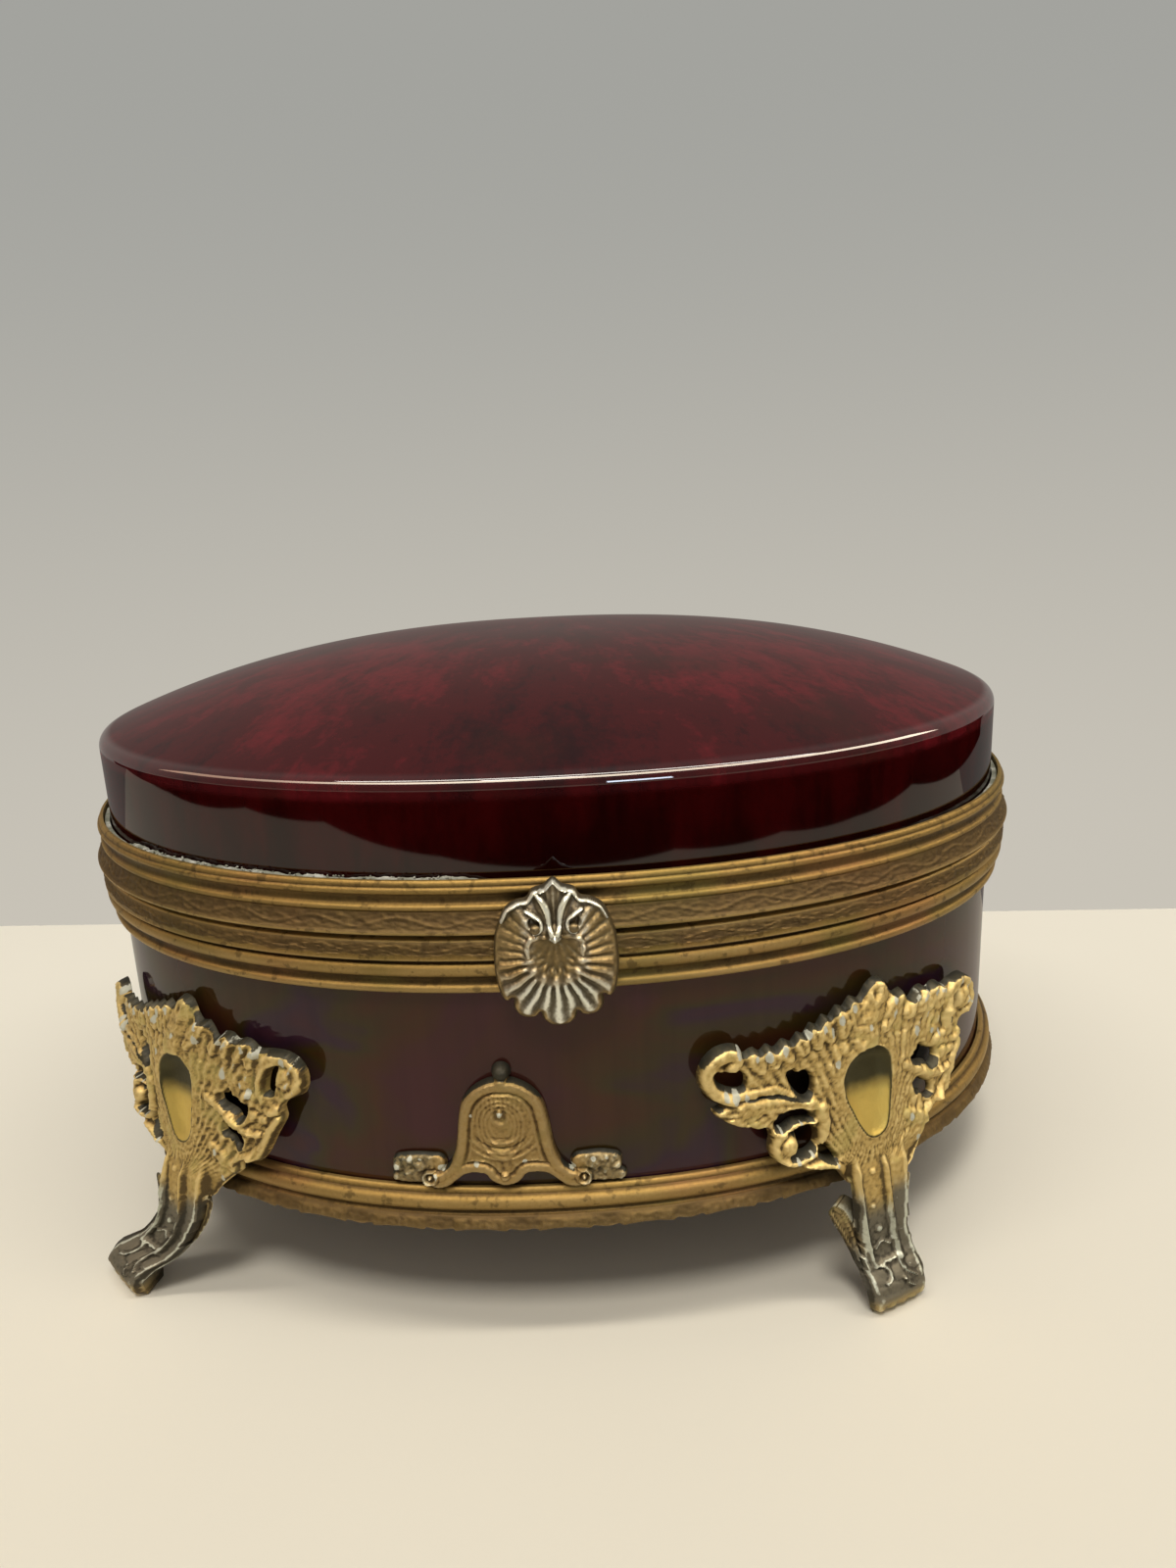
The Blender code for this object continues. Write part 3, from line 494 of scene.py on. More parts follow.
def shellMetal():
    # layers: tone is hollow to proud, partly painted shade and highlight; gold keeps its gilding, rubbed is
    # bare and bright
    look = shellLook
    finish = Finish("shellMetal")
    place = finish.place()
    tone, gold, rubbed = finish.attribute("tone"), finish.attribute("gold"), finish.attribute("rubbed")
    fine = finish.noise(place, 1500.0, 2.0, 0.6)
    cloud = finish.noise(place, 300.0, 3.0, 0.6)
    level = tone + (fine - 0.5) * 0.35 + (cloud - 0.5) * 0.3
    worn, silver, brass = (finish.ramp(level, look[tint]) for tint in ("worn", "silver", "brass"))
    grit = finish.bump(finish.noise(place, 2300.0, 3.0, 0.7), 0.00005, 0.6)
    colour = finish.mix(rubbed, worn, silver)
    finish.set(Base_Color=finish.mix(gold, colour, brass), Metallic=look["metallic"], Normal=grit)
    finish.set(Roughness=(look["roughness"] + (fine - 0.5) * 0.2).held())
    return finish.owner


plasterStops = ((0.30, (0.10, 0.105, 0.07)), (0.50, (0.26, 0.26, 0.20)), (0.68, (0.56, 0.55, 0.48)))


def plasterFinish():
    finish = Finish("plaster")
    place = finish.place()
    cloud = finish.noise(place, 260.0, 4.0, 0.6)
    colour = finish.ramp(cloud, plasterStops)
    crumbs = finish.bump(finish.noise(place, 1800.0, 4.0, 0.7), 0.00015, 0.9)
    finish.set(Base_Color=colour, Roughness=0.92, Normal=crumbs)
    return finish.owner


steelLook = {"dark": (0.16, 0.145, 0.12), "bright": (0.42, 0.40, 0.36)}


def steelFinish():
    finish = Finish("steel")
    place = finish.place()
    drawn = finish.noise(finish.stretched(place, (60.0, 1500.0, 1500.0)), 1.0, 3.0, 0.6)
    colour = finish.mix(drawn, steelLook["dark"], steelLook["bright"])
    finish.set(Base_Color=colour, Metallic=1.0, Roughness=(0.30 + drawn * 0.25).held())
    finish.set(Normal=finish.bump(drawn, 0.00004, 0.6))
    return finish.owner


looks = {
    "oxblood": oxbloodGlaze(),
    "aubergine": aubergineGlaze(),
    "white": whiteGlaze(),
    "gilt": giltMetal(),
    "cast": castMetal(),
    "shell": shellMetal(),
    "plaster": plasterFinish(),
    "steel": steelFinish(),
}
print("materials made")


# Pieces from grids that are bent into place

def gridShape(columns, rows):
    # a flat grid with the column and row number of each vertex
    shape = bmesh.new()
    bmesh.ops.create_grid(shape, x_segments=columns, y_segments=rows, size=0.5)
    flat = np.array([vertex.co[:2] for vertex in shape.verts]) + 0.5
    return shape, np.rint(flat[:, 0] * columns).astype(int), np.rint(flat[:, 1] * rows).astype(int)


def paint(shape, name, values):
    layer = shape.verts.layers.float.new(name)
    for vertex, value in zip(shape.verts, values):
        vertex[layer] = float(value)


def moveAll(shape, places):
    for vertex, place in zip(shape.verts, places):
        vertex.co = place


def addPiece(name, shape, body, finishes, replaced=(), sharp=40):
    mesh = bpy.data.meshes.new(name)
    shape.to_mesh(mesh)
    shape.free()
    mesh.shade_smooth()
    if sharp:
        mesh.set_sharp_from_angle(angle=math.radians(sharp))
    piece = bpy.data.objects.new(name, mesh)
    bpy.context.scene.collection.objects.link(piece)
    for finish in finishes:
        mesh.materials.append(looks[finish])
    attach(piece, body)
    if replaced:
        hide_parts(*replaced)
    print("made", name, len(mesh.polygons), "faces")


def closedSweep(places, layers=None, insideFrom=None):
    # a table of places [row, column], closed both ways or brought to points; rows past insideFrom
    # take material 1
    rows, columns = places.shape[0] - 1, places.shape[1] - 1
    shape, column, row = gridShape(columns, rows)
    if insideFrom is not None:
        for face in shape.faces:
            face.material_index = int((face.calc_center_median().y + 0.5) * rows > insideFrom)
    moveAll(shape, places[row, column])
    for name, table in (layers or {}).items():
        paint(shape, name, table[row, column])
    return closed(shape)


def closed(shape):
    # joins what meets, then turns the faces outwards
    bmesh.ops.remove_doubles(shape, verts=shape.verts, dist=2e-6)
    bmesh.ops.recalc_face_normals(shape, faces=shape.faces)
    return shape


def roundOval(columns):
    arc = np.linspace(0, wholeArc, columns + 1)
    place, normal = ovalWall(angleAt(arc))
    place[-1], normal[-1] = place[0], normal[0]
    return arc, place, normal


def arcRow(start, end, bulge, count):
    # points from start towards end on an arc that bows left of travel by bulge times the chord
    start, end = np.array(start, float), np.array(end, float)
    chord = np.hypot(*(end - start))
    share = np.arange(count) / count
    if abs(bulge) < 1e-6 or chord < 1e-9:
        return start + (end - start) * share[:, None]
    along, left = (end - start) / chord, np.array([start[1] - end[1], end[0] - start[0]]) / chord
    half = 2 * math.atan(2 * bulge)
    turn = half * (2 * share - 1)
    run = chord / 2 * (1 + np.sin(turn) / math.sin(half))
    rise = chord / 2 * (np.cos(turn) - math.cos(half)) / math.sin(half)
    return start + along * run[:, None] + left * rise[:, None]


# Porcelain lid and tub

lidShape = {
    "shown": 17.4,  # from the ring's top to the crease's top
    "creaseRadius": 2.5,
    "creaseTurn": 67.0,  # how far the crease turns before the dome starts
    "domePower": 2.6,
    "wall": 4.0,
    "rimRound": 1.0,
    "fillet": 4.0,
    "filletTurn": 60.0,
    "columns": 480,
}


def makeLid():
    values = lidShape
    arc, place, normal = roundOval(values["columns"])
    radius, power = values["creaseRadius"], values["domePower"]
    wall, lip, fillet = values["wall"], values["rimRound"], values["fillet"]
    top, rim = lidHigh.z / mm, lidLow.z / mm
    centre = lidRingHigh.z / mm + values["shown"] - radius
    edge = centre + radius * math.sin(math.radians(values["creaseTurn"]))
    slope = np.arctan((top - edge) * power / (place * normal).sum(-1))
    rows = []

    def row(share, out, height):
        flat = (place + normal * np.broadcast_to(out, arc.shape)[:, None]) * share
        rows.append(np.concatenate([flat, np.broadcast_to(height, arc.shape)[:, None]], -1))

    # outside: dome, crease, wall and rounded rim
    edgeOut, edgeHigh = radius * (np.sin(slope) - 1), centre + radius * np.cos(slope)
    for share in np.sin(np.linspace(0, math.pi / 2, 42)[:-1]):
        row(share, edgeOut, top - (top - edgeHigh) * share ** power)
    for turn in np.linspace(0, 1, 14):
        lift = (math.pi / 2 - slope) * (1 - turn)
        row(1, radius * (np.cos(lift) - 1), centre + radius * np.sin(lift))
    for height in np.linspace(centre, rim + lip, 14)[1:]:
        row(1, 0, height)
    for turn in np.linspace(0, math.pi / 2, 5)[1:]:
        row(1, -lip * (1 - math.cos(turn)), rim + lip * (1 - math.sin(turn)))
    outside = len(rows) - 1

    # inside: rim, wall, fillet and the underside of the dome
    for turn in np.linspace(math.pi / 2, 0, 5):
        row(1, -wall + lip * (1 - math.cos(turn)), rim + lip * (1 - math.sin(turn)))
    inner, last = edge - wall, math.radians(values["filletTurn"])
    for height in np.linspace(rim + lip, inner - fillet, 10)[1:]:
        row(1, -wall, height)
    for turn in np.linspace(0, last, 6)[1:]:
        row(1, -wall - fillet * (1 - math.cos(turn)), inner - fillet + fillet * math.sin(turn))
    lastOut, lastHigh = -wall - fillet * (1 - math.cos(last)), inner - fillet + fillet * math.sin(last)
    for share in np.sin(np.linspace(math.pi / 2, 0, 24)[1:]):
        row(share, lastOut, top - wall - (top - wall - lastHigh) * share ** power)
    shape = closedSweep(np.array(rows) * mm, insideFrom=outside)
    addPiece("porcelainLid", shape, "lid", ("oxblood", "white"), ("lid_porcelain",), 0)


tubShape = {
    "wall": 4.0,
    "floor": 4.5,
    "corner": 1.5,
    "rimRound": 1.0,
    "fillet": 4.0,
    "columns": 480,
}


def makeTub():
    values = tubShape
    arc, place, normal = roundOval(values["columns"])
    low, high = tubLow.z / mm, tubHigh.z / mm
    wall, lip, corner, fillet = (values[key] for key in ("wall", "rimRound", "corner", "fillet"))
    floor = low + values["floor"]
    turns = np.linspace(0, math.pi / 2, 6)[1:]
    # share of the way out from the middle, out from the wall, and height
    path = [(share, -corner, low) for share in np.linspace(0, 1, 9)]
    path += [(1, -corner * (1 - math.sin(turn)), low + corner * (1 - math.cos(turn))) for turn in turns]
    path += [(1, 0, height) for height in np.linspace(low + corner, high - lip, 22)[1:]]
    path += [(1, -lip * (1 - math.cos(turn)), high - lip * (1 - math.sin(turn))) for turn in turns]
    outside = len(path) - 1
    path += [(1, -wall + lip * (1 - math.sin(turn)), high - lip * (1 - math.cos(turn))) for turn in turns]
    path += [(1, -wall, height) for height in np.linspace(high - lip, floor + fillet, 14)[1:]]
    for turn in turns:
        path.append((1, -wall - fillet * (1 - math.cos(turn)), floor + fillet * (1 - math.sin(turn))))
    path += [(share, -wall - fillet, floor) for share in np.linspace(1, 0, 10)[1:]]
    rows = []
    for share, out, height in path:
        flat = (place + normal * out) * share
        rows.append(np.concatenate([flat, np.full((len(arc), 1), height)], -1))
    shape = closedSweep(np.array(rows) * mm, insideFrom=outside)
    finishes = ("aubergine", "white")
    addPiece("porcelainTub", shape, "base", finishes, ("body_porcelain",), 0)


makeLid()
makeTub()


# Metal rings: a section of arcs run round the oval, with chasing pressed into its worked sides

ringColumns = 1400


def ringSection(sides):
    # points of the closed section, with where each faces, its kind and its share of its side
    points, kinds, shares = [], [], []
    for k, (out, height, bulge, count, kind) in enumerate(sides):
        after = sides[(k + 1) % len(sides)]
        points.append(arcRow((out, height), after[:2], bulge, count))
        kinds += [kind] * count
        shares += list(np.arange(count) / count)
    points = np.concatenate(points)
    run = np.roll(points, -1, 0) - np.roll(points, 1, 0)
    facing = np.stack([-run[:, 1], run[:, 0]], -1) / np.maximum(np.hypot(*run.T), 1e-6)[:, None]
    tables = points, facing, np.array(kinds), np.array(shares)
    return [np.concatenate([table, table[:1]]) for table in tables]


def ringTone(out):
    # proud places are light and hollows dark, against the average close around: partly dirt and wear, partly
    # painted highlight and painted shade
    proud = out[:-1]
    soft = boxBlur(proud, 2, True)
    for _ in range(2):
        soft = sum(np.roll(soft, step, 0) for step in (0, 1, -1, 2, -2)) / 5
    tone = np.clip(0.5 + (proud - soft) * 0.9, 0, 1)
    return np.concatenate([tone, tone[:1]])


def ringPiece(name, sides, chase, body, replaced):
    # sides: (out, height, bulge, points, kind) in millimetres; chase gives relief, drop and dullness
    arc, place, normal = roundOval(ringColumns)
    section, facing, kinds, shares = ringSection(sides)
    out = np.repeat(section[:, :1], ringColumns + 1, 1)
    height = np.repeat(section[:, 1:], ringColumns + 1, 1)
    dull = np.zeros_like(out)
    for kind in set(kinds) - {0}:
        rows = np.nonzero(kinds == kind)[0]
        along, share = np.meshgrid(arc, shares[rows])
        relief, drop, worked = chase(kind, along, share)
        out[rows] += relief * facing[rows, :1]
        height[rows] += relief * facing[rows, 1:] + drop
        dull[rows] = worked
    for table in (out, height, dull):
        table[:, -1] = table[:, 0]
    flat = place[None] + normal[None] * out[..., None]
    places = np.concatenate([flat, height[..., None]], -1) * mm
    shape = closedSweep(places, {"tone": ringTone(out), "chased": dull})
    addPiece(name, shape, body, ("gilt",), replaced, 45)


def shownSides(values, top, tall, reach):
    # the section's face, from shares of the ring's reach and height to millimetres
    skin = values["skin"]
    return [
        (skin + (reach - skin) * out, top - tall * down, bulge, points, kind)
        for out, down, bulge, points, kind in values["face"]
    ]


def leafScroll(along, share, period, depth):
    # low arches and a running stem with small leaves, as relief in millimetres
    turns = np.round(wholeArc / period)
    phase = along / wholeArc * turns
    bend = 2 * math.pi * phase
    stem = ridge(share - 0.48 - 0.22 * np.sin(bend), 0.07)
    twig = ridge(share - 0.48 + 0.26 * np.sin(bend + 0.5), 0.05) * wave(bend * 2)
    local = (phase + 0.25) % 0.5 - 0.25
    arch = ridge(np.hypot(local * period / 2.6, (share - 0.30) * 1.3) - 0.62, 0.09)
    relief = 0.55 * stem + 0.35 * twig + 0.40 * arch
    rough = 0.34 * grain(along, share * 5, 0.40, 5) + 0.26 * grain(along, share * 5, 0.8, 7)
    return (relief + rough) * depth


def lidChase(kind, along, share):
    relief = leafScroll(along, share, 15.0, 0.26) * smoothStep(0, 0.12, share)
    edge = 0.13 * ridge(share - 0.96, 0.05) * (0.6 + 0.4 * np.cos(along * 2 * math.pi / 1.25))
    relief = relief * (1 - smoothStep(0.85, 0.95, share)) + edge
    return relief, 0, 0.75 + 0.2 * smoothStep(0, 0.2, share)


def baseChase(kind, along, share):
    # the worked part ends on a wavy line
    line = 0.70 + 0.05 * np.sin(along * 2 * math.pi / 9.2) + 0.03 * np.sin(along * 2 * math.pi / 3.1)
    worked = 1 - smoothStep(-0.02, 0.04, share - line)
    relief = leafScroll(along + 4.0, share / 0.74, 13.6, 0.26) * worked * smoothStep(0, 0.1, share)
    return relief + 0.12 * ridge(share - line, 0.04), 0, 0.85 * worked


def bandChase(kind, along, share):
    # broad low leaves with an arched end, and small hanging ones between them
    every, half = 15.3, 4.7  # from leaf to leaf, and half of a broad leaf
    turns = np.round(wholeArc / every)
    x = ((along / wholeArc * turns + 0.08) % 1 - 0.5) * every
    broad = 1 - smoothStep(half, 5.2, np.abs(x))
    arch = 0.62 * np.clip(1 - (np.abs(x) / half) ** 2, 0, 1) * broad
    small = np.abs(np.abs(x) - every / 2)
    hang = (1 - broad) * (0.25 + 0.55 * smoothStep(0, 2.6, small))
    drop = 0.70 * (arch * 0.95 + hang + 0.10 * np.abs(grain(along, along * 0, 0.8, 3)))
    if kind == 3:
        return np.zeros_like(x), drop, 0.8 + 0 * share
    veins = 0.07 * np.cos(x * 2 * math.pi / 1.3) * broad * smoothStep(0.2, 0.7, share)
    rough = 0.10 * grain(along, share * 3, 0.5, 11) + 0.06 * grain(along, share * 3, 1.1, 12)
    relief = (0.16 * broad + veins + rough) * smoothStep(0.05, 0.35, share)
    return relief, drop * share, 0.84 + 0.12 * (1 - broad)


lidRingShape = {
    "skin": 1.5,
    "inner": 4.4,
    "innerHigh": 1.0,
    "face": [  # shares out and down, bulge, points, kind of chasing
        (0.00, 0.00, 0.0, 2, 0),
        (0.20, 0.00, 0.12, 5, 0),
        (0.38, 0.095, -0.1, 2, 0),
        (0.38, 0.115, 0.36, 9, 0),
        (0.36, 0.255, 0.0, 2, 0),
        (0.27, 0.27, -0.14, 7, 0),
        (0.24, 0.445, 0.0, 2, 0),
        (0.33, 0.46, 0.30, 7, 0),
        (0.33, 0.585, -0.1, 2, 0),
        (0.36, 0.60, -0.03, 17, 1),
        (0.96, 0.950, 0.12, 4, 0),
        (0.86, 1.00, 0.0, 3, 0),
    ],
}


def makeLidRing():
    values = lidRingShape
    top, low = lidRingHigh.z / mm, lidRingLow.z / mm
    reach, tall = (lidRingHigh.x - tubHigh.x) / mm, (lidRingHigh.z - lidRingLow.z) / mm
    sides = shownSides(values, top, tall, reach) + [
        (-values["inner"], low, 0.0, 2, 0),
        (-values["inner"], low + values["innerHigh"], 0.0, 3, 0),
        (values["skin"], low + values["innerHigh"], 0.0, 3, 0),
    ]
    ringPiece("lidRing", sides, lidChase, "lid", ("lid_bezel",))


baseRingShape = {
    "skin": 0.3,
    "collar": 2.2,  # stands above the face, inside the lid's ring
    "collarFace": 4.8,
    "inner": 5.5,
    "innerHigh": 1.0,
    "face": [  # shares out and down, bulge, points, kind of chasing
        (0.70, 0.00, 0.1, 3, 0),
        (0.80, 0.045, 0.03, 17, 1),
        (0.95, 0.345, 0.0, 2, 0),
        (0.62, 0.375, -0.15, 4, 0),
        (0.60, 0.415, 0.0, 2, 0),
        (0.68, 0.425, 0.27, 9, 0),
        (0.64, 0.665, 0.0, 2, 0),
        (0.44, 0.70, -0.14, 5, 0),
        (0.40, 0.825, 0.0, 2, 0),
        (0.42, 0.84, 0.34, 7, 0),
        (0.40, 0.99, 0.0, 2, 0),
        (0.00, 1.00, 0.0, 3, 0),
        (0.00, 0.095, 0.0, 2, 0),
    ],
}


def makeBaseRing():
    values = baseRingShape
    high = baseRingHigh.z / mm
    top = high - values["collar"]
    reach, tall = (baseRingHigh.x - tubHigh.x) / mm, top - baseRingLow.z / mm
    sides = [
        (-values["inner"], high, 0.0, 2, 0),
        (-values["collarFace"], high, 0.0, 2, 0),
        (-values["collarFace"], top, 0.0, 4, 0),
    ]
    sides += shownSides(values, top, tall, reach)
    sides.append((-values["inner"], top - values["innerHigh"], 0.0, 2, 0))
    ringPiece("baseRing", sides, baseChase, "base", ("base_bezel",))


bandShape = {
    "skin": 0.3,
    "flange": 1.0,
    "inner": 8.0,
    "underGap": 1.2,
    "face": [  # shares out and down, bulge, points, kind of chasing
        (0.00, 0.00, 0.0, 2, 0),
        (0.20, 0.00, 0.1, 5, 0),
        (0.36, 0.115, -0.2, 2, 0),
        (0.38, 0.135, 0.27, 11, 0),
        (0.62, 0.50, 0.0, 2, 0),
        (0.50, 0.52, -0.16, 5, 0),
        (0.54, 0.64, 0.0, 2, 0),
        (0.64, 0.655, 0.04, 9, 2),
        (0.93, 0.99, 0.15, 3, 3),
        (0.74, 0.99, 0.0, 3, 3),
    ],
}


def makeBand():
    values = bandShape
    top, low = bandHigh.z / mm, bandLow.z / mm
    reach, tall = (bandHigh.x - tubHigh.x) / mm, (bandHigh.z - bandLow.z) / mm
    under = low + values["flange"]
    sides = shownSides(values, top, tall, reach) + [
        (reach - values["underGap"], under, 0.0, 3, 0),
        (-values["inner"], under, 0.0, 2, 0),
        (-values["inner"], under + values["flange"], 0.0, 3, 0),
        (values["skin"], under + values["flange"], 0.0, 3, 0),
    ]
    ringPiece("footBand", sides, bandChase, "base", ("bottom_band",))


makeLidRing()
makeBaseRing()
makeBand()


# Plaster between the lid and its ring, crumbling along the top edge

plasterBed = {
    "columns": 900,
    "lowGap": 1.3,  # from the ring's lower edge
    "topGap": 0.1,  # from its upper edge
    "spill": (0.10, 0.225),  # shares of the way round between which it comes over the ring
    "sunk": 0.90,  # elsewhere
    "back": 0.3,  # out from the wall
    "crest": (  # out from the wall, down from the top and share of the roughness
        (1.2, 1.0, 0), (1.22, 0.3, 0.6), (1.05, 0, 1), (0.72, -0.08, 1.1), (0.42, 0, 1), (0.3, 0.4, 0.6),
        (0.3, 1.2, 0),
    ),
}
crumbs = {"seed": 11, "count": 90, "size": (0.12, 0.32), "out": (0.35, 1.5), "above": (0.12, 0.32)}


def addCrumbs(shape, start, end, top):
    draw = np.random.RandomState(crumbs["seed"])
    for _ in range(crumbs["count"]):
        size = draw.uniform(*crumbs["size"])
        ground, facing = ovalWall(angleAt(draw.uniform(start, end)))
        x, y = ground + facing * draw.uniform(*crumbs["out"])
        made = bmesh.ops.create_icosphere(shape, subdivisions=2, radius=size * mm)
        turn = Matrix.Rotation(draw.uniform(0, 6.28), 4, Vector(draw.uniform(-1, 1, 3)))
        squash = Matrix.Diagonal((1.0, draw.uniform(0.6, 0.9), draw.uniform(0.4, 0.7), 1))
        shift = Matrix.Translation(Vector((x, y, top + draw.uniform(*crumbs["above"]))) * mm)
        bmesh.ops.transform(shape, matrix=shift @ turn @ squash, verts=made["verts"])


def makePlaster():
    values = plasterBed
    arc, place, normal = roundOval(values["columns"])
    low, top = lidRingLow.z / mm + values["lowGap"], lidRingHigh.z / mm - values["topGap"]
    rough = 0.20 * grain(arc, arc * 0, 1.1, 21) + 0.14 * grain(arc, arc * 0, 0.45, 22)
    start, end = (wholeArc * share for share in values["spill"])
    spill = smoothStep(start - 8, start, arc) * (1 - smoothStep(end, end + 4, arc))
    lift = rough * (0.4 + 0.6 * spill) + 0.10 * spill - values["sunk"] * (1 - spill)
    rough[-1], lift[-1] = rough[0], lift[0]
    path = [(values["back"], low, 0), (values["crest"][0][0], low, 0)]
    path += [(out, top - down, share) for out, down, share in values["crest"]]
    rows = []
    for out, height, share in path + path[:1]:
        flat = place + normal * (out + 0.05 * rough[:, None] * share)
        rows.append(np.concatenate([flat, (height + lift * share)[:, None]], -1))
    shape = closedSweep(np.array(rows) * mm)
    addCrumbs(shape, start, end, top)
    addPiece("lidPlaster", shape, "lid", ("plaster",), ("lid_cement_bed",), 60)


makePlaster()


# Cast reliefs: rolls laid on a plate give its outline and its height

def smoothLine(points, parts=4):
    # a smooth curve through (along, height, half width) points
    points = np.array(points, float)
    if len(points) == 1:
        return np.array([points[0], points[0] + (0.01, 0, 0)])
    ends = np.concatenate([[2 * points[0] - points[1]], points, [2 * points[-1] - points[-2]]])
    made = []
    for k in range(1, len(ends) - 2):
        p0, p1, p2, p3 = ends[k - 1:k + 3]
        for t in np.arange(parts) / parts:
            curve = 2 * p1 + (p2 - p0) * t + (2 * p0 - 5 * p1 + 4 * p2 - p3) * t ** 2
            made.append((curve + (3 * p1 - p0 - 3 * p2 + p3) * t ** 3) / 2)
    made.append(points[-1])
    return np.array(made)


def rollField(u, s, line):
    # distance past the roll's edge, and share of its half width, at each point
    gap, share = np.full(u.shape, 99.0), np.full(u.shape, 9.0)
    reach = line[:, 2].max() + 3
    near = (u > line[:, 0].min() - reach) & (u < line[:, 0].max() + reach)
    near &= (s > line[:, 1].min() - reach) & (s < line[:, 1].max() + reach)
    x, y = u[near], s[near]
    best, part = np.full(x.shape, 99.0), np.full(x.shape, 9.0)
    for start, end in zip(line[:-1], line[1:]):
        run = end[:2] - start[:2]
        t = np.clip(((x - start[0]) * run[0] + (y - start[1]) * run[1]) / max(run @ run, 1e-9), 0, 1)
        width = np.maximum(start[2] + t * (end[2] - start[2]), 0.05)
        distance = np.hypot(x - start[0] - t * run[0], y - start[1] - t * run[1])
        closer = distance - width < best
        best = np.where(closer, distance - width, best)
        part = np.where(closer, distance / width, part)
    gap[near], share[near] = best, part
    return gap, share


def outlineGap(u, s, corners, parts=3):
    # distance from a smooth closed outline, negative inside it
    around = np.array([*corners[-2:], *corners, *corners[:2]], float)
    line = smoothLine(np.column_stack([around, np.full(len(around), 0.05)]), parts)
    line = line[parts * 2:-parts * 2 + 1, :2]
    gap, inside = np.full(u.shape, 99.0), np.zeros(u.shape, bool)
    for start, end in zip(line, np.roll(line, -1, 0)):
        run = end - start
        t = np.clip(((u - start[0]) * run[0] + (s - start[1]) * run[1]) / max(run @ run, 1e-9), 0, 1)
        gap = np.minimum(gap, np.hypot(u - start[0] - t * run[0], s - start[1] - t * run[1]))
        crosses = (start[1] > s) != (end[1] > s)
        slope = run[0] / run[1] if abs(run[1]) > 1e-12 else 0
        inside ^= crosses & (u < start[0] + (s - start[1]) * slope)
    return np.where(inside, -gap, gap)


def mirrored(side, middle=0.0):
    # whole outline from its right side, given from the top down
    return side + [(2 * middle - x, y) for x, y in reversed(side) if x - middle > 0.01]


def laidRolls(u, s, rolls):
    # rolls: (crown, vein, points); the vein is a rib or a groove along the middle
    gap, tall = np.full(u.shape, 99.0), np.zeros(u.shape)
    for crown, vein, points in rolls:
        beyond, share = rollField(u, s, smoothLine(points))
        rise = crown * rounded(share) ** 0.6 + vein * ridge(share, 0.28)
        tall = np.maximum(tall, np.where(share < 1, rise, 0))
        gap = np.minimum(gap, beyond)
    return gap, tall


def snapEdge(shape, field, cell):
    # moves the cut sheet's stepped edge onto the outline
    edge = [vertex for vertex in shape.verts if vertex.is_boundary]
    spots = np.array([vertex.co[:2] for vertex in edge])
    for _ in range(2):
        here = field(spots[:, 0], spots[:, 1])[0]
        east = field(spots[:, 0] + 0.05, spots[:, 1])[0] - here
        north = field(spots[:, 0], spots[:, 1] + 0.05)[0] - here
        lean = np.stack([east, north], -1) / 0.05
        step = here[:, None] * lean / np.maximum((lean ** 2).sum(-1), 0.3)[:, None]
        spots = spots - np.clip(step, -0.6 * cell, 0.6 * cell)
    for vertex, spot in zip(edge, spots):
        vertex.co = (*spot, 0)


def castRelief(spread, cell, field, layers):
    # a flat cut-out sheet with its front pushed up; spread is (low, high) along and (low, high) up
    (lowU, highU), (lowS, highS) = spread
    columns, rows = int((highU - lowU) / cell), int((highS - lowS) / cell)
    shape, column, row = gridShape(columns, rows)
    gridU, gridS = np.meshgrid(np.linspace(lowU, highU, columns + 1), np.linspace(lowS, highS, rows + 1))
    gap, tall = field(gridU, gridS)
    outside = [f for f in shape.faces if np.mean([gap[row[v.index], column[v.index]] for v in f.verts]) > 0]
    for vertex, i, j in zip(shape.verts, column, row):
        vertex.co = (gridU[j, i], gridS[j, i], 0)
    bmesh.ops.delete(shape, geom=outside, context="FACES")
    snapEdge(shape, field, cell)
    grown = bmesh.ops.extrude_face_region(shape, geom=shape.faces[:])
    front = {item for item in grown["geom"] if isinstance(item, bmesh.types.BMVert)}
    isFront = np.array([vertex in front for vertex in shape.verts])
    u, s, _ = np.array([vertex.co for vertex in shape.verts]).T
    height = np.where(isFront, field(u, s)[1], 0)
    # hollows painted darker and proud places lighter: partly painted shade and highlight
    solid = np.where(gap < 0, tall, 0)
    hollow = solid - boxBlur(solid, max(1, int(0.45 / cell)), False)
    i = np.clip(np.rint((u - lowU) / cell).astype(int), 0, columns)
    j = np.clip(np.rint((s - lowS) / cell).astype(int), 0, rows)
    paint(shape, "tone", np.clip(0.5 + hollow[j, i] * 1.8, 0, 1) * np.where(isFront, 1, 0.3))
    for layer, values in layers(u, s, isFront).items():
        paint(shape, layer, values)
    return shape, u, s, height, isFront


def addCast(name, relief, place, body, finish, replaced):
    shape = relief[0].copy()
    moveAll(shape, place(*relief[1:]))
    bmesh.ops.recalc_face_normals(shape, faces=shape.faces)
    addPiece(name, shape, body, (finish,), replaced, 50)


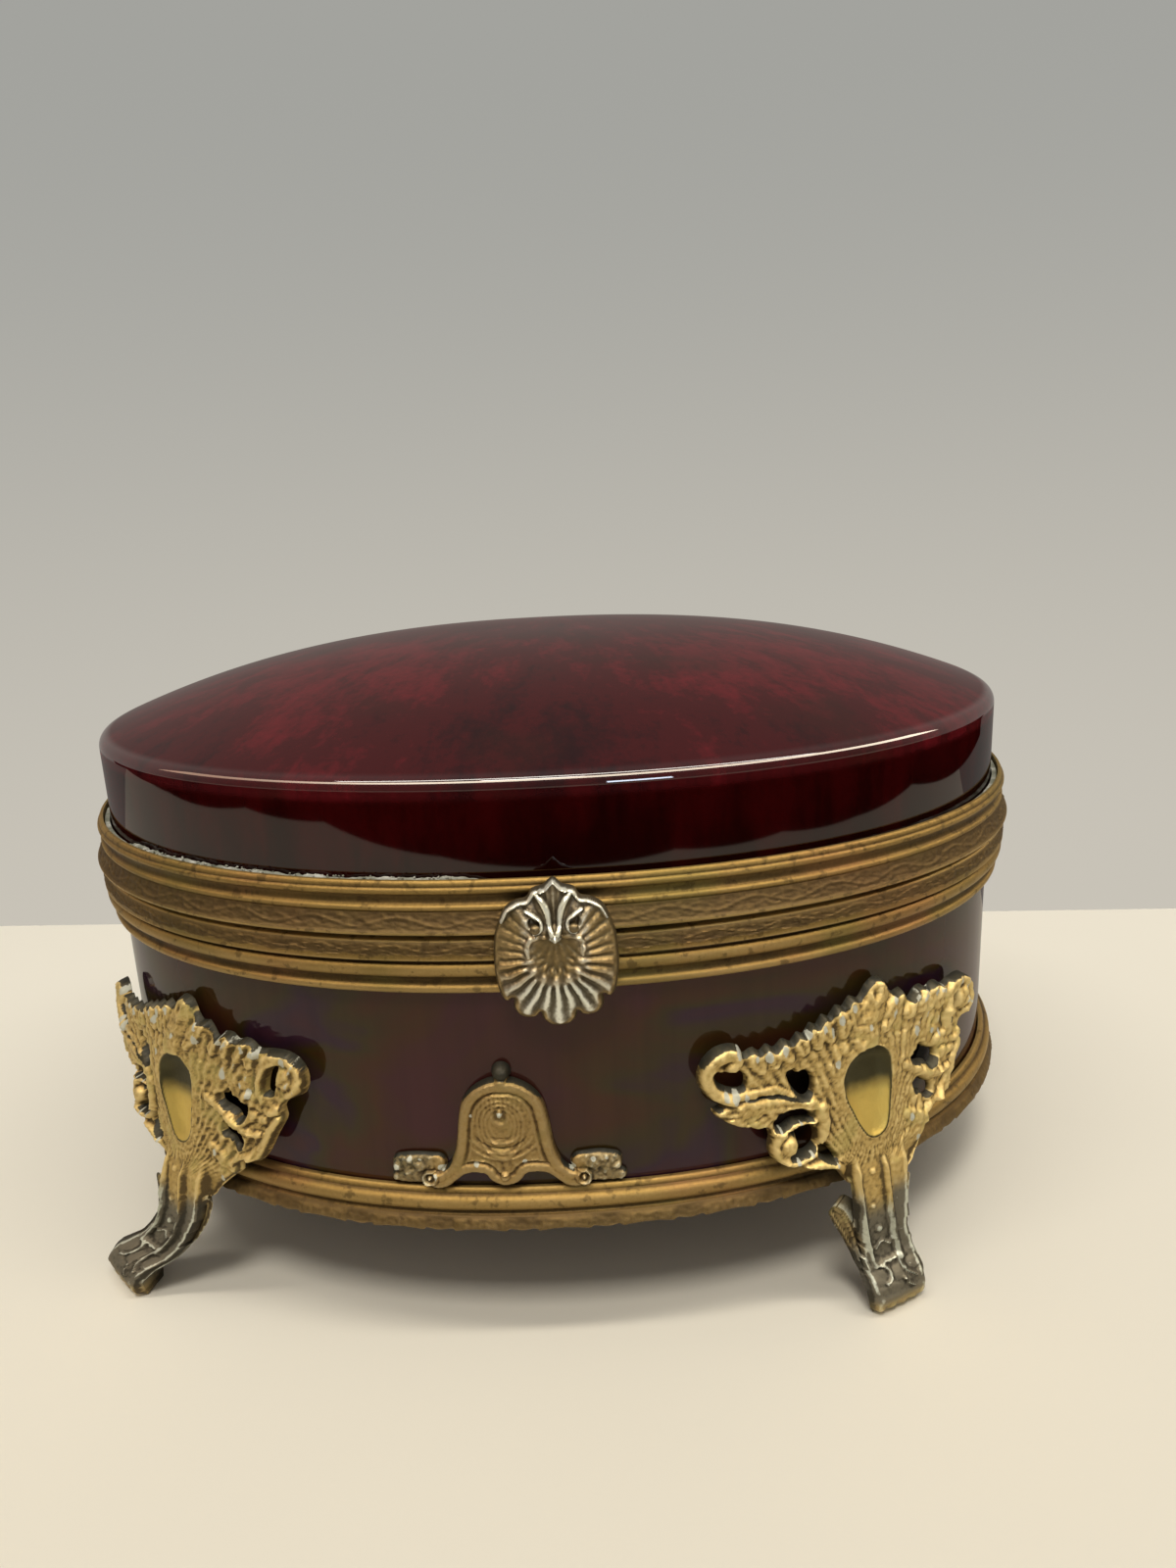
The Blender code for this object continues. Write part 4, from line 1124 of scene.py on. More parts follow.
footCast = {
    # (along, height) in millimetres from the middle of the foot, clockwise from the leg's left
    "outline": [
        (-6.6, 27), (-8.6, 30.2), (-12, 31.2), (-15, 32.2), (-15.7, 33.3), (-17.6, 33.1), (-20.0, 34.5),
        (-21.5, 37), (-21.1, 39.8), (-21.6, 41.4), (-23.6, 41.6), (-24.9, 42.4), (-26.4, 42.3),
        (-28, 43.4), (-30.6, 45.1), (-31.6, 46.9), (-30.0, 47.6), (-31.9, 49), (-33.6, 51.4), (-34, 54),
        (-32.8, 56.7), (-30.6, 58.5), (-28, 58.9), (-26.2, 58.2), (-25.5, 56.7), (-24.6, 57.1),
        (-23.4, 57.4), (-22.3, 56.5), (-20.9, 57.7), (-19.5, 56.6), (-17.8, 58.1), (-16.2, 57.1),
        (-14.8, 58.8), (-13.6, 58.0), (-12.2, 60.0), (-11.0, 59.2), (-9.6, 61.0), (-8.3, 60.2),
        (-6.6, 62.1), (-5.2, 61.4), (-3.6, 63.2), (-1.8, 62.2), (0, 64.3), (2.0, 65.4), (4.2, 64.7),
        (5.4, 62.6), (6.6, 61.2), (8.4, 61.6), (9.8, 60.0), (10.8, 58.8), (12.4, 60.2), (14.4, 60.4),
        (15.8, 59.3), (17.4, 60.0), (19.2, 59.6), (20.6, 58.5), (22.4, 58.7), (24.4, 58.9), (26.8, 58.8),
        (29.0, 57.8), (30.5, 55.8), (30.7, 53.3), (29.8, 51.2), (27.8, 50.1), (26.4, 49.4), (25.3, 48.1),
        (25.7, 46.2), (24.9, 44.4), (23.5, 42.2), (22.0, 39.3), (20.5, 36.9), (18.6, 35.3), (16.0, 35.1),
        (14.7, 34.2), (14.8, 32.7), (13.0, 31.2), (11.4, 29.6), (9.4, 27.4), (7.4, 25.2), (0, 24),
    ],
    "holes": [
        [(-30.9, 53.9), (-30.3, 51.9), (-28.0, 50.5), (-25.8, 50.4), (-25.4, 52.4), (-26.5, 53.6),
         (-28.9, 53.6)],
        [(-17.3, 51.0), (-16.2, 51.8), (-15.3, 50.9), (-13.7, 51.1), (-12.5, 49.4), (-12.8, 46.8),
         (-14.4, 46.2), (-16.4, 48.6)],
        [(-20.0, 41.4), (-19.2, 43.3), (-16.6, 44.0), (-14.2, 43.4), (-13.0, 42.0), (-14.6, 42.1),
         (-16.8, 42.3), (-18.6, 41.4)],
        [(-16.8, 40.2), (-13.8, 40.6), (-12.4, 38.8), (-12.7, 36.6), (-14.6, 35.4), (-17.4, 35.3),
         (-16.4, 36.2), (-15.8, 37.6), (-16.0, 39.2)],
        [(-12.0, 36.2), (-10.7, 36.2), (-9.5, 34.4), (-8.4, 32.5), (-10.1, 33.0), (-11.7, 34.3)],
        [(10.4, 47.2), (11.8, 47.6), (13.0, 48.8), (14.2, 47.4), (16.6, 46.2), (16.9, 44.8), (15.4, 43.4),
         (14.6, 44.6), (13.2, 45.2), (11.0, 45.8)],
        [(10.8, 41.2), (12.2, 42.2), (13.4, 40.8), (15.2, 39.6), (15.2, 37.8), (14.0, 37.6), (13.0, 39.0),
         (11.2, 39.6)],
        [(24.7, 55.5), (23.2, 55.0), (22.3, 52.9), (22.0, 50.5), (23.1, 50.3), (23.8, 52.2)],
    ],
    "dish": [
        (-7.0, 47.6), (-5.6, 51.0), (-2.5, 53.0), (1.0, 53.2), (3.8, 51.2), (4.5, 48.2), (4.1, 44.5),
        (3.6, 41.0), (3.2, 38.0), (2.2, 35.8), (0.2, 34.8), (-1.9, 35.4), (-3.6, 37.8), (-5.0, 40.8),
        (-6.4, 44.0),
    ],
    "fanFrom": (-1.0, 24.0),
    "rolls": [  # crown, vein, then (along, height, half width)
        (1.2, 0.0, [(-27.6, 48.2, 0.8), (-30.4, 49.7, 1.2), (-32.2, 52.0, 1.4), (-32.2, 54.8, 1.5),
                    (-30.4, 56.9, 1.6), (-28.0, 57.2, 1.5), (-26.8, 55.8, 1.2)]),
        (1.5, 0.0, [(-27.7, 55.0, 1.3)]),
        (0.6, 0.0, [(-29.0, 48.8, 1.0), (-25.0, 48.9, 0.9), (-20.0, 48.9, 0.9), (-16.2, 46.6, 0.8),
                    (-12.0, 44.6, 0.7)]),
        (0.9, -0.25, [(-30.6, 46.5, 0.6), (-27.0, 46.3, 1.3), (-22.0, 46.2, 1.7), (-17.0, 45.6, 1.3),
                      (-12.4, 44.2, 0.8)]),
        (0.7, -0.2, [(-22.8, 45.4, 1.0), (-26.0, 44.3, 1.2), (-28.6, 44.5, 0.7)]),
        (0.7, -0.2, [(-20.8, 44.2, 1.0), (-23.0, 43.0, 1.1), (-25.2, 43.1, 0.6)]),
        (1.3, 0.0, [(-11.2, 43.6, 1.3), (-10.8, 40.2, 1.2), (-11.4, 37.4, 1.1), (-13.8, 34.9, 1.0),
                    (-17.2, 34.4, 1.1), (-19.8, 36.2, 1.2), (-20.2, 38.6, 1.0), (-18.8, 40.2, 0.9)]),
        (1.9, 0.0, [(-18.0, 37.6, 1.9)]),
        (0.9, 0.0, [(-20.2, 40.6, 0.8), (-17.6, 41.2, 0.75), (-15.0, 41.3, 0.8), (-12.6, 41.3, 0.7)]),
        (1.1, -0.3, [(-15.0, 32.7, 0.7), (-12.0, 32.0, 1.2), (-9.0, 30.7, 1.5), (-7.2, 28.2, 1.3),
                     (-6.0, 25.0, 1.0)]),
        (0.9, 0.25, [(-1.5, 54.5, 2.6), (0.2, 58.4, 3.0), (2.2, 61.6, 2.4), (3.0, 64.0, 1.1)]),
        (1.0, -0.3, [(3.4, 56.0, 1.2), (5.2, 58.6, 1.7), (7.6, 60.8, 1.1)]),
        (1.1, 0.0, [(21.2, 48.6, 0.9), (20.9, 52.0, 1.1), (22.0, 55.6, 1.3), (24.6, 57.5, 1.4),
                    (27.8, 57.2, 1.4), (29.4, 54.8, 1.2), (29.0, 52.4, 1.1), (27.4, 51.0, 0.9)]),
        (1.3, 0.0, [(26.5, 54.0, 2.5)]),
        (0.8, -0.3, [(17.6, 48.4, 1.4), (21.6, 47.6, 1.7), (24.6, 47.2, 0.9)]),
        (0.9, 0.0, [(24.4, 45.4, 0.8), (22.4, 42.2, 1.0), (20.2, 38.6, 1.1), (17.6, 36.4, 1.1),
                    (14.6, 35.3, 1.0)]),
        (0.7, 0.2, [(8.0, 46.6, 1.0), (11.4, 44.2, 1.0), (14.0, 42.6, 1.0), (17.6, 41.4, 1.0),
                    (20.4, 41.6, 0.8)]),
        (0.7, -0.2, [(8.6, 36.2, 1.2), (11.4, 34.4, 1.4), (13.4, 33.0, 0.8)]),
        (0.6, 0.0, [(16.4, 43.2, 1.0), (18.6, 45.0, 1.2), (21.6, 45.0, 1.0)]),
        (1.0, -0.3, [(10.0, 56.6, 1.4), (12.2, 59.2, 0.9)]),
        (1.0, -0.3, [(13.0, 56.8, 1.4), (14.6, 59.4, 0.8)]),
        (1.0, -0.3, [(16.0, 56.2, 1.4), (17.6, 59.0, 0.8)]),
        (0.9, -0.3, [(18.6, 55.6, 1.3), (19.9, 57.9, 0.8)]),
    ],
    "lobes": [
        (-3.8, 62.4), (-6.7, 61.3), (-9.7, 60.2), (-12.3, 59.2), (-14.9, 58.0), (-17.8, 57.3),
        (-20.9, 56.9), (-23.4, 56.6),
    ],
    "lobeRoots": ((-3.0, 57.5), (-22.4, 53.4)),
    "stem": [(-25, 48.0, 0.3), (-20, 47.9, 0.35), (-15, 45.9, 0.3)],
    "strands": 92,  # in a whole turn round the place they fan out from
    # spots of pale wear and painted highlight: along, height and size
    "paleWearAndHighlightSpots": [
        (-3.4, 61.0, 0.7), (-6.4, 59.6, 0.8), (-8.2, 57.6, 0.7), (-9.9, 58.6, 0.6), (-12.9, 58.0, 0.7),
        (-17.8, 56.2, 0.8), (-20.9, 55.6, 0.9), (-23.2, 55.6, 0.5), (-26.4, 57.4, 0.8), (-27.4, 49.0, 1.0),
        (-29.2, 49.6, 0.7), (-25.4, 48.6, 0.6), (-19.2, 41.0, 0.4), (-15.4, 41.4, 0.4), (-16.4, 34.4, 0.5),
        (-13.6, 35.1, 0.4), (-8.6, 31.6, 0.4), (-7.6, 51.4, 0.7), (5.6, 57.6, 0.8), (5.9, 60.2, 0.6),
        (-0.6, 57.0, 0.5), (11.8, 52.0, 0.9), (16.0, 50.6, 0.5), (18.0, 49.4, 0.8), (20.4, 57.6, 0.7),
        (12.2, 58.6, 0.6), (17.4, 58.2, 0.6), (26.2, 57.2, 0.7), (9.0, 35.4, 0.6), (10.6, 30.2, 0.6),
    ],
    "plate": 1.0,
}
footLeg = {
    # front and back of the leg seen from the side, (out, height) from the plate down to the sole
    "front": [
        (5.6, 33), (7.2, 29), (7.9, 25), (8.0, 19.5), (8.2, 14.5), (8.9, 10.8), (10.6, 8.0), (12.2, 5.9),
        (12.6, 3.9), (12.0, 1.6), (10.9, 0.2),
    ],
    "back": [
        (4.1, 33), (4.3, 29), (4.8, 25), (5.1, 19.5), (5.3, 14.5), (5.5, 11.2), (5.6, 8.6), (5.5, 6.2),
        (5.4, 3.9), (5.8, 1.6), (6.3, 0.2),
    ],
    "outline": [
        (0.6, 29, 6.6), (0.2, 24.6, 6.0), (0.3, 19, 5.9), (0.2, 14, 5.9), (-0.1, 9, 6.3), (-0.4, 4.5, 6.5),
        (-0.3, 1.2, 5.7), (0.0, -1.4, 4.6), (0.2, -3.4, 3.5),
    ],
    "veins": [
        [(-3.2, 9.3, 0.35), (-2.0, 8.7, 0.38), (-1.5, 7.4, 0.42), (-1.8, 6.1, 0.38), (-2.8, 5.5, 0.3)],
        [(1.6, 9.2, 0.3), (1.8, 7.6, 0.38), (2.4, 6.2, 0.38), (3.6, 5.0, 0.3)],
        [(1.0, 5.4, 0.3), (1.6, 4.2, 0.35), (2.6, 3.3, 0.3)],
    ],
    "pads": [(-3.5, 7.0, 1.7), (0.3, 6.6, 1.5), (4.2, 7.2, 1.3)],
    "beads": [(-1.6, 16.0, 0.85), (-2.6, 21.4, 0.6), (-2.4, 28.5, 0.7)],
    "spurs": [
        [(-5.7, 8.6, 0.9), (-6.0, 12.6, 1.3), (-7.0, 16.4, 1.5), (-8.4, 19.8, 1.6), (-9.6, 21.8, 1.2)],
        [(5.6, 13, 0.6), (6.4, 18.5, 0.8), (7.0, 23.2, 0.9)],
    ],
    "railsAt": ((8, -0.7), (20, -1.9), (28, -2.6)),
    "railsApart": 3.05,
    "joinsAt": 33.0,
    "leanIn": 2.6,
    "standOff": 4.1,
    "backShare": 0.5,
    "bendAt": (-32.9, -25, -19.5, -14, -9.5, -7, -4.25, -1.75, 0),
    "outShare": (0, 0, 0.05, 0.14, 0.40, 0.80, 1.0, 0.98, 0.92),
    "skewShare": (0, 0, 0.12, 0.34, 0.62, 0.86, 1.0, 1.0, 0.96),
    "baseReach": 8.2,
}


def footPath():
    front, back = (np.array(footLeg[side]) for side in ("front", "back"))
    length = np.concatenate([[0], np.cumsum(np.hypot(*np.diff(front, axis=0).T))])
    return footLeg["joinsAt"] - length, front, back


pathAt, pathFront, pathBack = footPath()
soleAt = pathAt[-1]


def lobeRolls():
    # one small leaf to each lobe of the upper edge
    tips = footCast["lobes"]
    (x0, y0), (x1, y1) = footCast["lobeRoots"]
    made = []
    for k, (x, y) in enumerate(tips):
        share = k / (len(tips) - 1)
        rootX, rootY = x0 + (x1 - x0) * share, y0 + (y1 - y0) * share
        middle = ((rootX + x) / 2 + 0.7 * math.sin(k * 2.3), (rootY + y) / 2, 1.5)
        made.append((0.75, -0.3, [(rootX, rootY, 1.0), middle, (x, y, 1.0)]))
    return made


footRolls = footCast["rolls"] + lobeRolls()
spurRolls = [(0.7, 0.0, spur) for spur in footLeg["spurs"]]


def legRelief(u, s):
    # rails down the leg with bars and beads between them, and at the end pads, veins and toes
    line = np.array(footLeg["outline"])
    x = u - np.interp(-s, -line[:, 1], line[:, 0])
    middle = np.interp(s, *np.array(footLeg["railsAt"]).T)
    rail = footLeg["railsApart"]
    inner, side = np.abs(x - middle), np.abs(x)
    between = 1 - smoothStep(rail - 0.4, rail, inner)
    rise = -1.3 * smoothStep(rail + 1.5, rail + 3.2, side)
    rise -= 1.1 * smoothStep(5.4, 6.4, side) * smoothStep(10, 14, s)
    rise += 0.80 * ridge(inner - rail, 0.34) * smoothStep(8.6, 9.4, s)
    rise -= 0.55 * (1 - smoothStep(rail - 0.9, rail - 0.3, inner)) * smoothStep(8, 10, s)
    rise -= 0.45 * ridge(inner - rail - 1.1, 0.6) * smoothStep(8, 10, s)
    rise += 0.55 * ridge(side - 5.2, 0.32) * smoothStep(3, 6, s)
    rise += 0.75 * between * ridge(s - 9.4 - 0.05 * (x - middle) ** 2, 0.34)
    rise += 0.50 * between * ridge(s - 12.8 - 0.5 * np.cos((x - middle) * 2.0), 0.32)
    for beadX, beadS, size in footLeg["beads"]:
        rise += 0.55 * bead(x - beadX, s - beadS, size, size)
    rise -= 0.35 * (1 - smoothStep(8.2, 9.2, s)) * smoothStep(2.0, 3.4, s)
    for padX, padS, size in footLeg["pads"]:
        rise += 0.40 * bead(x - padX, s - padS, size, size)
    for vein in footLeg["veins"]:
        rise += 0.75 * rounded(rollField(x, s, smoothLine(vein))[1]) ** 0.7
    rise += 0.12 * (1 - smoothStep(0.0, 2.0, s)) * np.cos(x * 2.6)
    return rise + 0.10 * grain(x, s, 0.7, 35) + 0.05 * grain(x, s, 0.35, 36)


def leafStrands(u, s):
    return grain(0.85 * u - 0.53 * s, (0.53 * u + 0.85 * s) * 0.3, 0.85, 37)


def plateRelief(u, s, dish):
    # a swell round the dish, leaves, strands that fan out of the leg's top, and grain
    rolls = laidRolls(u, s, footRolls)[1]
    fanX, fanS = footCast["fanFrom"]
    fan, far = np.arctan2(u - fanX, s - fanS), np.hypot(u - fanX, s - fanS)
    swell = 0.95 * ridge(np.maximum(dish, 0), 4.2)
    hatch = np.cos(fan * footCast["strands"] + 1.3 * grain(u, s, 2.6, 34) + 0.05 * far)
    hatch *= smoothStep(1.2, 2.4, dish) * (1 - smoothStep(8, 12, u)) * (1 - 0.6 * (rolls > 0.25))
    contour = np.cos(dish * 2 * math.pi / 1.15) * smoothStep(0.8, 1.3, dish)
    contour *= 1 - smoothStep(3.0, 4.4, dish)
    seeds = 0.13 * grain(u, s, 0.55, 31) + 0.10 * grain(u, s, 0.30, 32) + 0.22 * grain(u, s, 1.5, 39)
    coarse = (0.14 * grain(u, s, 0.95, 33) + 0.38 * leafStrands(u, s)) * smoothStep(7, 11, u)
    return 0.35 + swell + rolls * 0.9 + 0.15 * hatch + 0.05 * contour + seeds + coarse


def bowlRelief(u, s, dish):
    # the hollow of the dish, deeper towards its top
    deep = np.interp(s, (34, 38, 50, 53), (0.75, 1.1, 2.5, 2.3))
    into = np.maximum(-dish, 0)
    return 1.45 - deep * (1 - np.exp(-(into / 1.5) ** 1.4)) + 0.03 * grain(u, s, 1.2, 38)


def footField(u, s):
    # distance from the foot's outline, negative inside it, and the height of its front
    gap = outlineGap(u, s, footCast["outline"], 2)
    for hole in footCast["holes"]:
        gap = np.maximum(gap, -outlineGap(u, s, hole, 3))
    spurGap, spurTall = laidRolls(u, s, spurRolls)
    legGap = np.minimum(rollField(u, s, smoothLine(footLeg["outline"]))[0], spurGap)
    dish = outlineGap(u, s, footCast["dish"], 4)
    tall = np.where(dish < 0, bowlRelief(u, s, dish), plateRelief(u, s, dish))
    tall += 0.12 * ridge(dish - 0.25, 0.5)
    below = 1 - smoothStep(27.5, 32.5, s)
    tall = tall * (1 - below) + (1.0 + legRelief(u, s)) * below
    tall = np.where((spurGap < 0) & (legGap > -0.9) & (s < 27), -1.6 + spurTall, tall)
    gap = np.where(s < 31, np.minimum(gap, legGap), gap)
    gap = np.maximum(gap, soleAt - s)
    lip = np.clip(-gap / 0.75, 0, 1) ** 0.5
    return gap, (tall + 0.9) * lip - 0.9


def footPlace(degrees, reach, skew):
    # the sheet follows the wall above the band and the leg's two lines below it
    joins = footLeg["joinsAt"]

    def place(u, s, height, isFront):
        above = s > joins
        backOut, backHigh = (np.interp(-s, -pathAt, line) for line in pathBack.T)
        frontOut, frontHigh = (np.interp(-s, -pathAt, line) for line in pathFront.T)
        lean = footLeg["leanIn"] * np.clip((s - joins) / 33, 0, 1)
        backOut = np.where(above, footLeg["standOff"] - lean, backOut)
        thick = footCast["plate"] + 0.4 * (1 - smoothStep(joins, joins + 6, s))
        frontOut = np.where(above, backOut + thick, frontOut)
        backHigh, frontHigh = np.where(above, s, backHigh), np.where(above, s, frontHigh)
        wayOut, wayUp = frontOut - backOut, frontHigh - backHigh
        depth = np.maximum(np.hypot(wayOut, wayUp), 1e-6)
        push = np.where(isFront, depth + height * smoothStep(soleAt, soleAt + 1.2, s), 0)
        out, high = backOut + wayOut / depth * push, backHigh + wayUp / depth * push
        thin = footLeg["backShare"] * (1 - smoothStep(22, 31, s))
        narrow = np.where(isFront, 0, np.clip(u, -6.5, 6.5) * thin)
        outShare = np.interp(-high, footLeg["bendAt"], footLeg["outShare"])
        skewShare = np.interp(-high, footLeg["bendAt"], footLeg["skewShare"])
        out = out + (reach - footLeg["baseReach"]) * outShare
        return onWall(degrees, u - narrow + skew * skewShare, out, np.maximum(high, 0))
    return place


def footLayers(u, s, isFront):
    gap = footField(u, s)[0]
    # upward edges and the stem's groove painted dark: real patina plus painted shade and dark reflection; the
    # back is dark all over
    upward = footField(u, s + 0.25)[0] - footField(u, s - 0.25)[0]
    topEdge = smoothStep(0.10, 0.34, upward) * smoothStep(-1.0, -0.35, gap)
    patina = np.where(isFront, topEdge, 1.0) * smoothStep(20, 27, s)
    stem = rollField(u, s, smoothLine(footCast["stem"]))[0]
    patina = np.maximum(patina, np.where(isFront, 0.9 - smoothStep(-0.2, 0.5, stem), patina))
    # pale streaks on the right wing and spots at the lobes: wear and painted highlights
    streaks = smoothStep(0.35, 0.75, leafStrands(u, s)) * smoothStep(9, 12, u)
    chip = np.maximum(0.62 * streaks * smoothStep(48, 54, s + 0.2 * (u - 20)), 0)
    for x, y, size in footCast["paleWearAndHighlightSpots"]:
        chip = np.maximum(chip, 1 - smoothStep(0.3, 1.3, np.hypot(u - x, (s - y) * 0.6) / size))
    dish = outlineGap(u, s, footCast["dish"], 4)
    # the dish painted dark at the top and bright below, a painted reflection
    bowl = (1 - smoothStep(-0.6, 0.0, dish)) * np.interp(s, (36, 43.0, 47.0), (1.0, 0.78, 0.24))
    panel = 1 - smoothStep(2.4, 3.4, np.abs(u + 0.8))
    grey = 1 - smoothStep(22.0 - 4 * panel, 27.0 - 3 * panel, s)
    spur = laidRolls(u, s, spurRolls)[0]
    grey = grey * (1 - 0.55 * (1 - smoothStep(-0.4, 0.2, spur)) * smoothStep(11, 15, s))
    grey = grey * np.where(isFront, 1 - 0.6 * (1 - smoothStep(0.5, 3.0, s)), 1)
    return {"patina": patina, "chip": chip * isFront, "pewter": grey, "bowl": bowl * isFront}


def makeFeet():
    relief = castRelief(((-36, 33), (soleAt, 67)), 0.34, footField, footLayers)
    for name, (degrees, reach, skew) in feet.items():
        node = "foot_" + ("front_" if "Front" in name else "back_") + ("right" if "Right" in name else "left")
        addCast("foot" + name, relief, footPlace(degrees, reach, skew), "base", "cast", (node,))
    relief[0].free()


makeFeet()


# Bell-shaped mount, an oval boss with drops inside a rolled border

bellCast = {
    "side": [
        (0.0, 55.0), (2.0, 54.8), (4.8, 53.2), (6.8, 50.6), (7.7, 47.2), (8.2, 43.4), (8.8, 40.2),
        (10.0, 37.6), (11.8, 36.2), (13.8, 36.4), (15.0, 35.2), (14.6, 33.2), (12.6, 32.6), (10.4, 32.9),
        (8.5, 34.4), (6.6, 35.8), (3.8, 36.2), (2.7, 34.9), (1.3, 34.0), (0.0, 33.6),
    ],
    "middle": -0.4,
    "rolls": [  # crown, vein, then (along, height, half width)
        (1.5, 0.0, [(-0.2, 56.3, 1.75)]),
        (0.7, 0.0, [(-0.3, 54.9, 1.2), (-0.4, 53.8, 1.6)]),
        (0.5, 0.0, [(-13.2, 37.6, 1.9), (-17, 37.4, 2.1), (-19.8, 37.2, 1.9)]),
        (0.4, 0.0, [(-14.6, 34.9, 1.6), (-18.0, 34.8, 1.8), (-20.8, 34.4, 1.2)]),
        (0.9, 0.0, [(-20.5, 36.6, 1.1)]),
        (0.8, 0.0, [(-18.2, 38.1, 1.0)]),
        (0.9, 0.0, [(-16.4, 37.0, 1.3)]),
        (0.8, 0.0, [(-18.6, 35.6, 1.0)]),
        (0.5, 0.0, [(13.2, 37.4, 1.9), (16.6, 37.4, 2.1), (19.0, 37.2, 1.8)]),
        (0.4, 0.0, [(14.6, 34.8, 1.6), (17.8, 34.8, 1.8), (20.4, 34.2, 1.2)]),
        (0.9, 0.0, [(19.6, 36.4, 1.1)]),
        (0.8, 0.0, [(17.4, 38.1, 1.0)]),
        (0.9, 0.0, [(15.6, 37.0, 1.3)]),
        (0.8, 0.0, [(17.8, 35.6, 1.0)]),
    ],
    "curls": [(-14.4, 35.0, 1.5), (13.6, 34.9, 1.5)],
    # spots of pale wear and painted highlight: along, height and size
    "paleWearAndHighlightSpots": [
        (-12.2, 37.0, 0.9), (-13.4, 35.4, 0.7), (-20.6, 36.8, 0.7), (-18.0, 38.6, 0.5), (-16.2, 38.4, 0.4),
        (11.6, 36.7, 0.8), (15.4, 38.2, 0.6), (17.8, 38.3, 0.4), (-5.6, 38.2, 0.6), (3.2, 38.8, 0.6),
        (-6.0, 48.0, 0.4),
    ],
    "bead": (-0.8, 48.6),
    "ribbon": 2.0,
    "drops": ((1.0, 0.28), (0.82, 0.22), (0.64, 0.22), (0.46, 0.16)),  # size and height
    "arcs": ((2.4, -0.50), (3.3, 0.30), (4.4, -0.35), (5.4, 0.26), (6.6, 0.30)),
    "angle": -95.2,
    "plate": 0.8,
    "gap": 0.3,
}


def bellDrops(u, s):
    # drop-shaped rings round an eyelet, with arcs hanging below it
    beadX, beadS = bellCast["bead"]
    drop = np.hypot((u - beadX) / 4.1, (s - 46.6) / np.where(s > 46.6, 4.6, 6.9))
    rings = sum(high * ridge(drop - size, 0.055) for size, high in bellCast["drops"])
    eyelet = np.hypot((u - beadX) / 1.5, (s - beadS + 0.2) / 2.1)
    rings = rings + 0.18 * ridge(eyelet - 1.0, 0.15) - 0.18 * (1 - smoothStep(0.6, 0.9, eyelet))
    hang = np.hypot((u - beadX) / 1.15, s - 46.0)
    shown = (1 - smoothStep(43.0, 44.4, s)) * smoothStep(38.0, 38.6, s)
    return rings + shown * sum(high * ridge(hang - radius, 0.24) for radius, high in bellCast["arcs"])


def bellField(u, s):
    # a rolled border round the drops, folds below them, strands above, and two wings
    edge = outlineGap(u, s, mirrored(bellCast["side"], bellCast["middle"]))
    gap, tall = laidRolls(u, s, bellCast["rolls"])
    x, inner = u - bellCast["middle"], bellCast["ribbon"]
    body = 0.75 + 0.5 * np.clip(1 - (x / 7.5) ** 2, 0, 1)
    body += 0.30 * np.exp(-((edge + inner * 0.5) / (inner * 0.50)) ** 4)
    body += 0.20 * ridge(edge + inner + 0.8, 0.2) - 0.32 * ridge(edge + inner + 0.25, 0.28)
    folds = 0.12 * np.cos(x * 2 * math.pi / 1.5 + 0.5 * (s - 40)) * (1 - smoothStep(38.2, 39.2, s))
    strands = 0.10 * np.cos(x * 2 * math.pi / 0.8 + 0.8 * grain(u, s, 1.5, 44))
    strands *= smoothStep(47.0, 51.5, s)
    body += smoothStep(inner + 0.6, inner + 1.2, -edge) * (bellDrops(u, s) + folds + strands)
    beadX, beadS = bellCast["bead"]
    body += 0.9 * bead(u - beadX, s - beadS, 0.5, 0.9) + 0.8 * bead(u + 0.5, s - 36.0, 0.85, 0.85)
    for curlX, curlS, size in bellCast["curls"]:
        turn = np.hypot(u - curlX, s - curlS) / size
        body += 0.5 * np.cos(np.clip(turn, 0, 2) * 2.4 * math.pi) * (1 - smoothStep(0.9, 1.3, turn))
    tall = np.where(edge < 0, np.maximum(tall, body), tall)
    gap = np.minimum(gap, edge)
    tall += 0.07 * grain(u, s, 0.5, 41) + 0.05 * grain(u, s, 0.3, 45) + 0.12 * grain(u, s, 1.6, 46)
    rough = 0.16 * grain(u, s, 0.75, 42) + 0.12 * grain(u, s, 0.4, 43)
    tall += rough * smoothStep(12.5, 14, np.abs(u))
    lip = np.clip(-gap / 0.6, 0, 1) ** 0.5
    return gap, (tall + 0.7) * lip - 0.7


def bellPlace(u, s, height, isFront):
    back = bellCast["gap"]
    out = np.where(isFront, back + bellCast["plate"] + height, back)
    return onWall(bellCast["angle"], u, out, s)


def bellLayers(u, s, isFront):
    gap = bellField(u, s)[0]
    knob = smoothStep(54.6, 55.6, s)
    upward = bellField(u, s + 0.25)[0] - bellField(u, s - 0.25)[0]
    topEdge = smoothStep(0.10, 0.34, upward) * smoothStep(-0.55, -0.1, gap)
    wing = smoothStep(12.5, 15, np.abs(u)) * 0.5
    chip = np.zeros_like(u)
    for x, y, size in bellCast["paleWearAndHighlightSpots"] + [(*bellCast["bead"], 0.6)]:
        chip = np.maximum(chip, 1 - smoothStep(0.4, 1.2, np.hypot(u - x, s - y) / size))
    # knob, wings and upward edges dark: patina, with painted shade on the upward edges
    patina = np.where(isFront, np.maximum(np.maximum(knob, topEdge), wing * 0.95), 1)
    brown = np.where(isFront, 0.75, 0.4) * (1 - wing)
    return {"patina": patina, "chip": chip * isFront, "pewter": wing * isFront, "brown": brown}


bellSheet = castRelief(((-22.5, 22.5), (32.4, 59.2)), 0.20, bellField, bellLayers)
addCast("bellMount", bellSheet, bellPlace, "base", "cast", ("front_bell_mount",))
bellSheet[0].free()


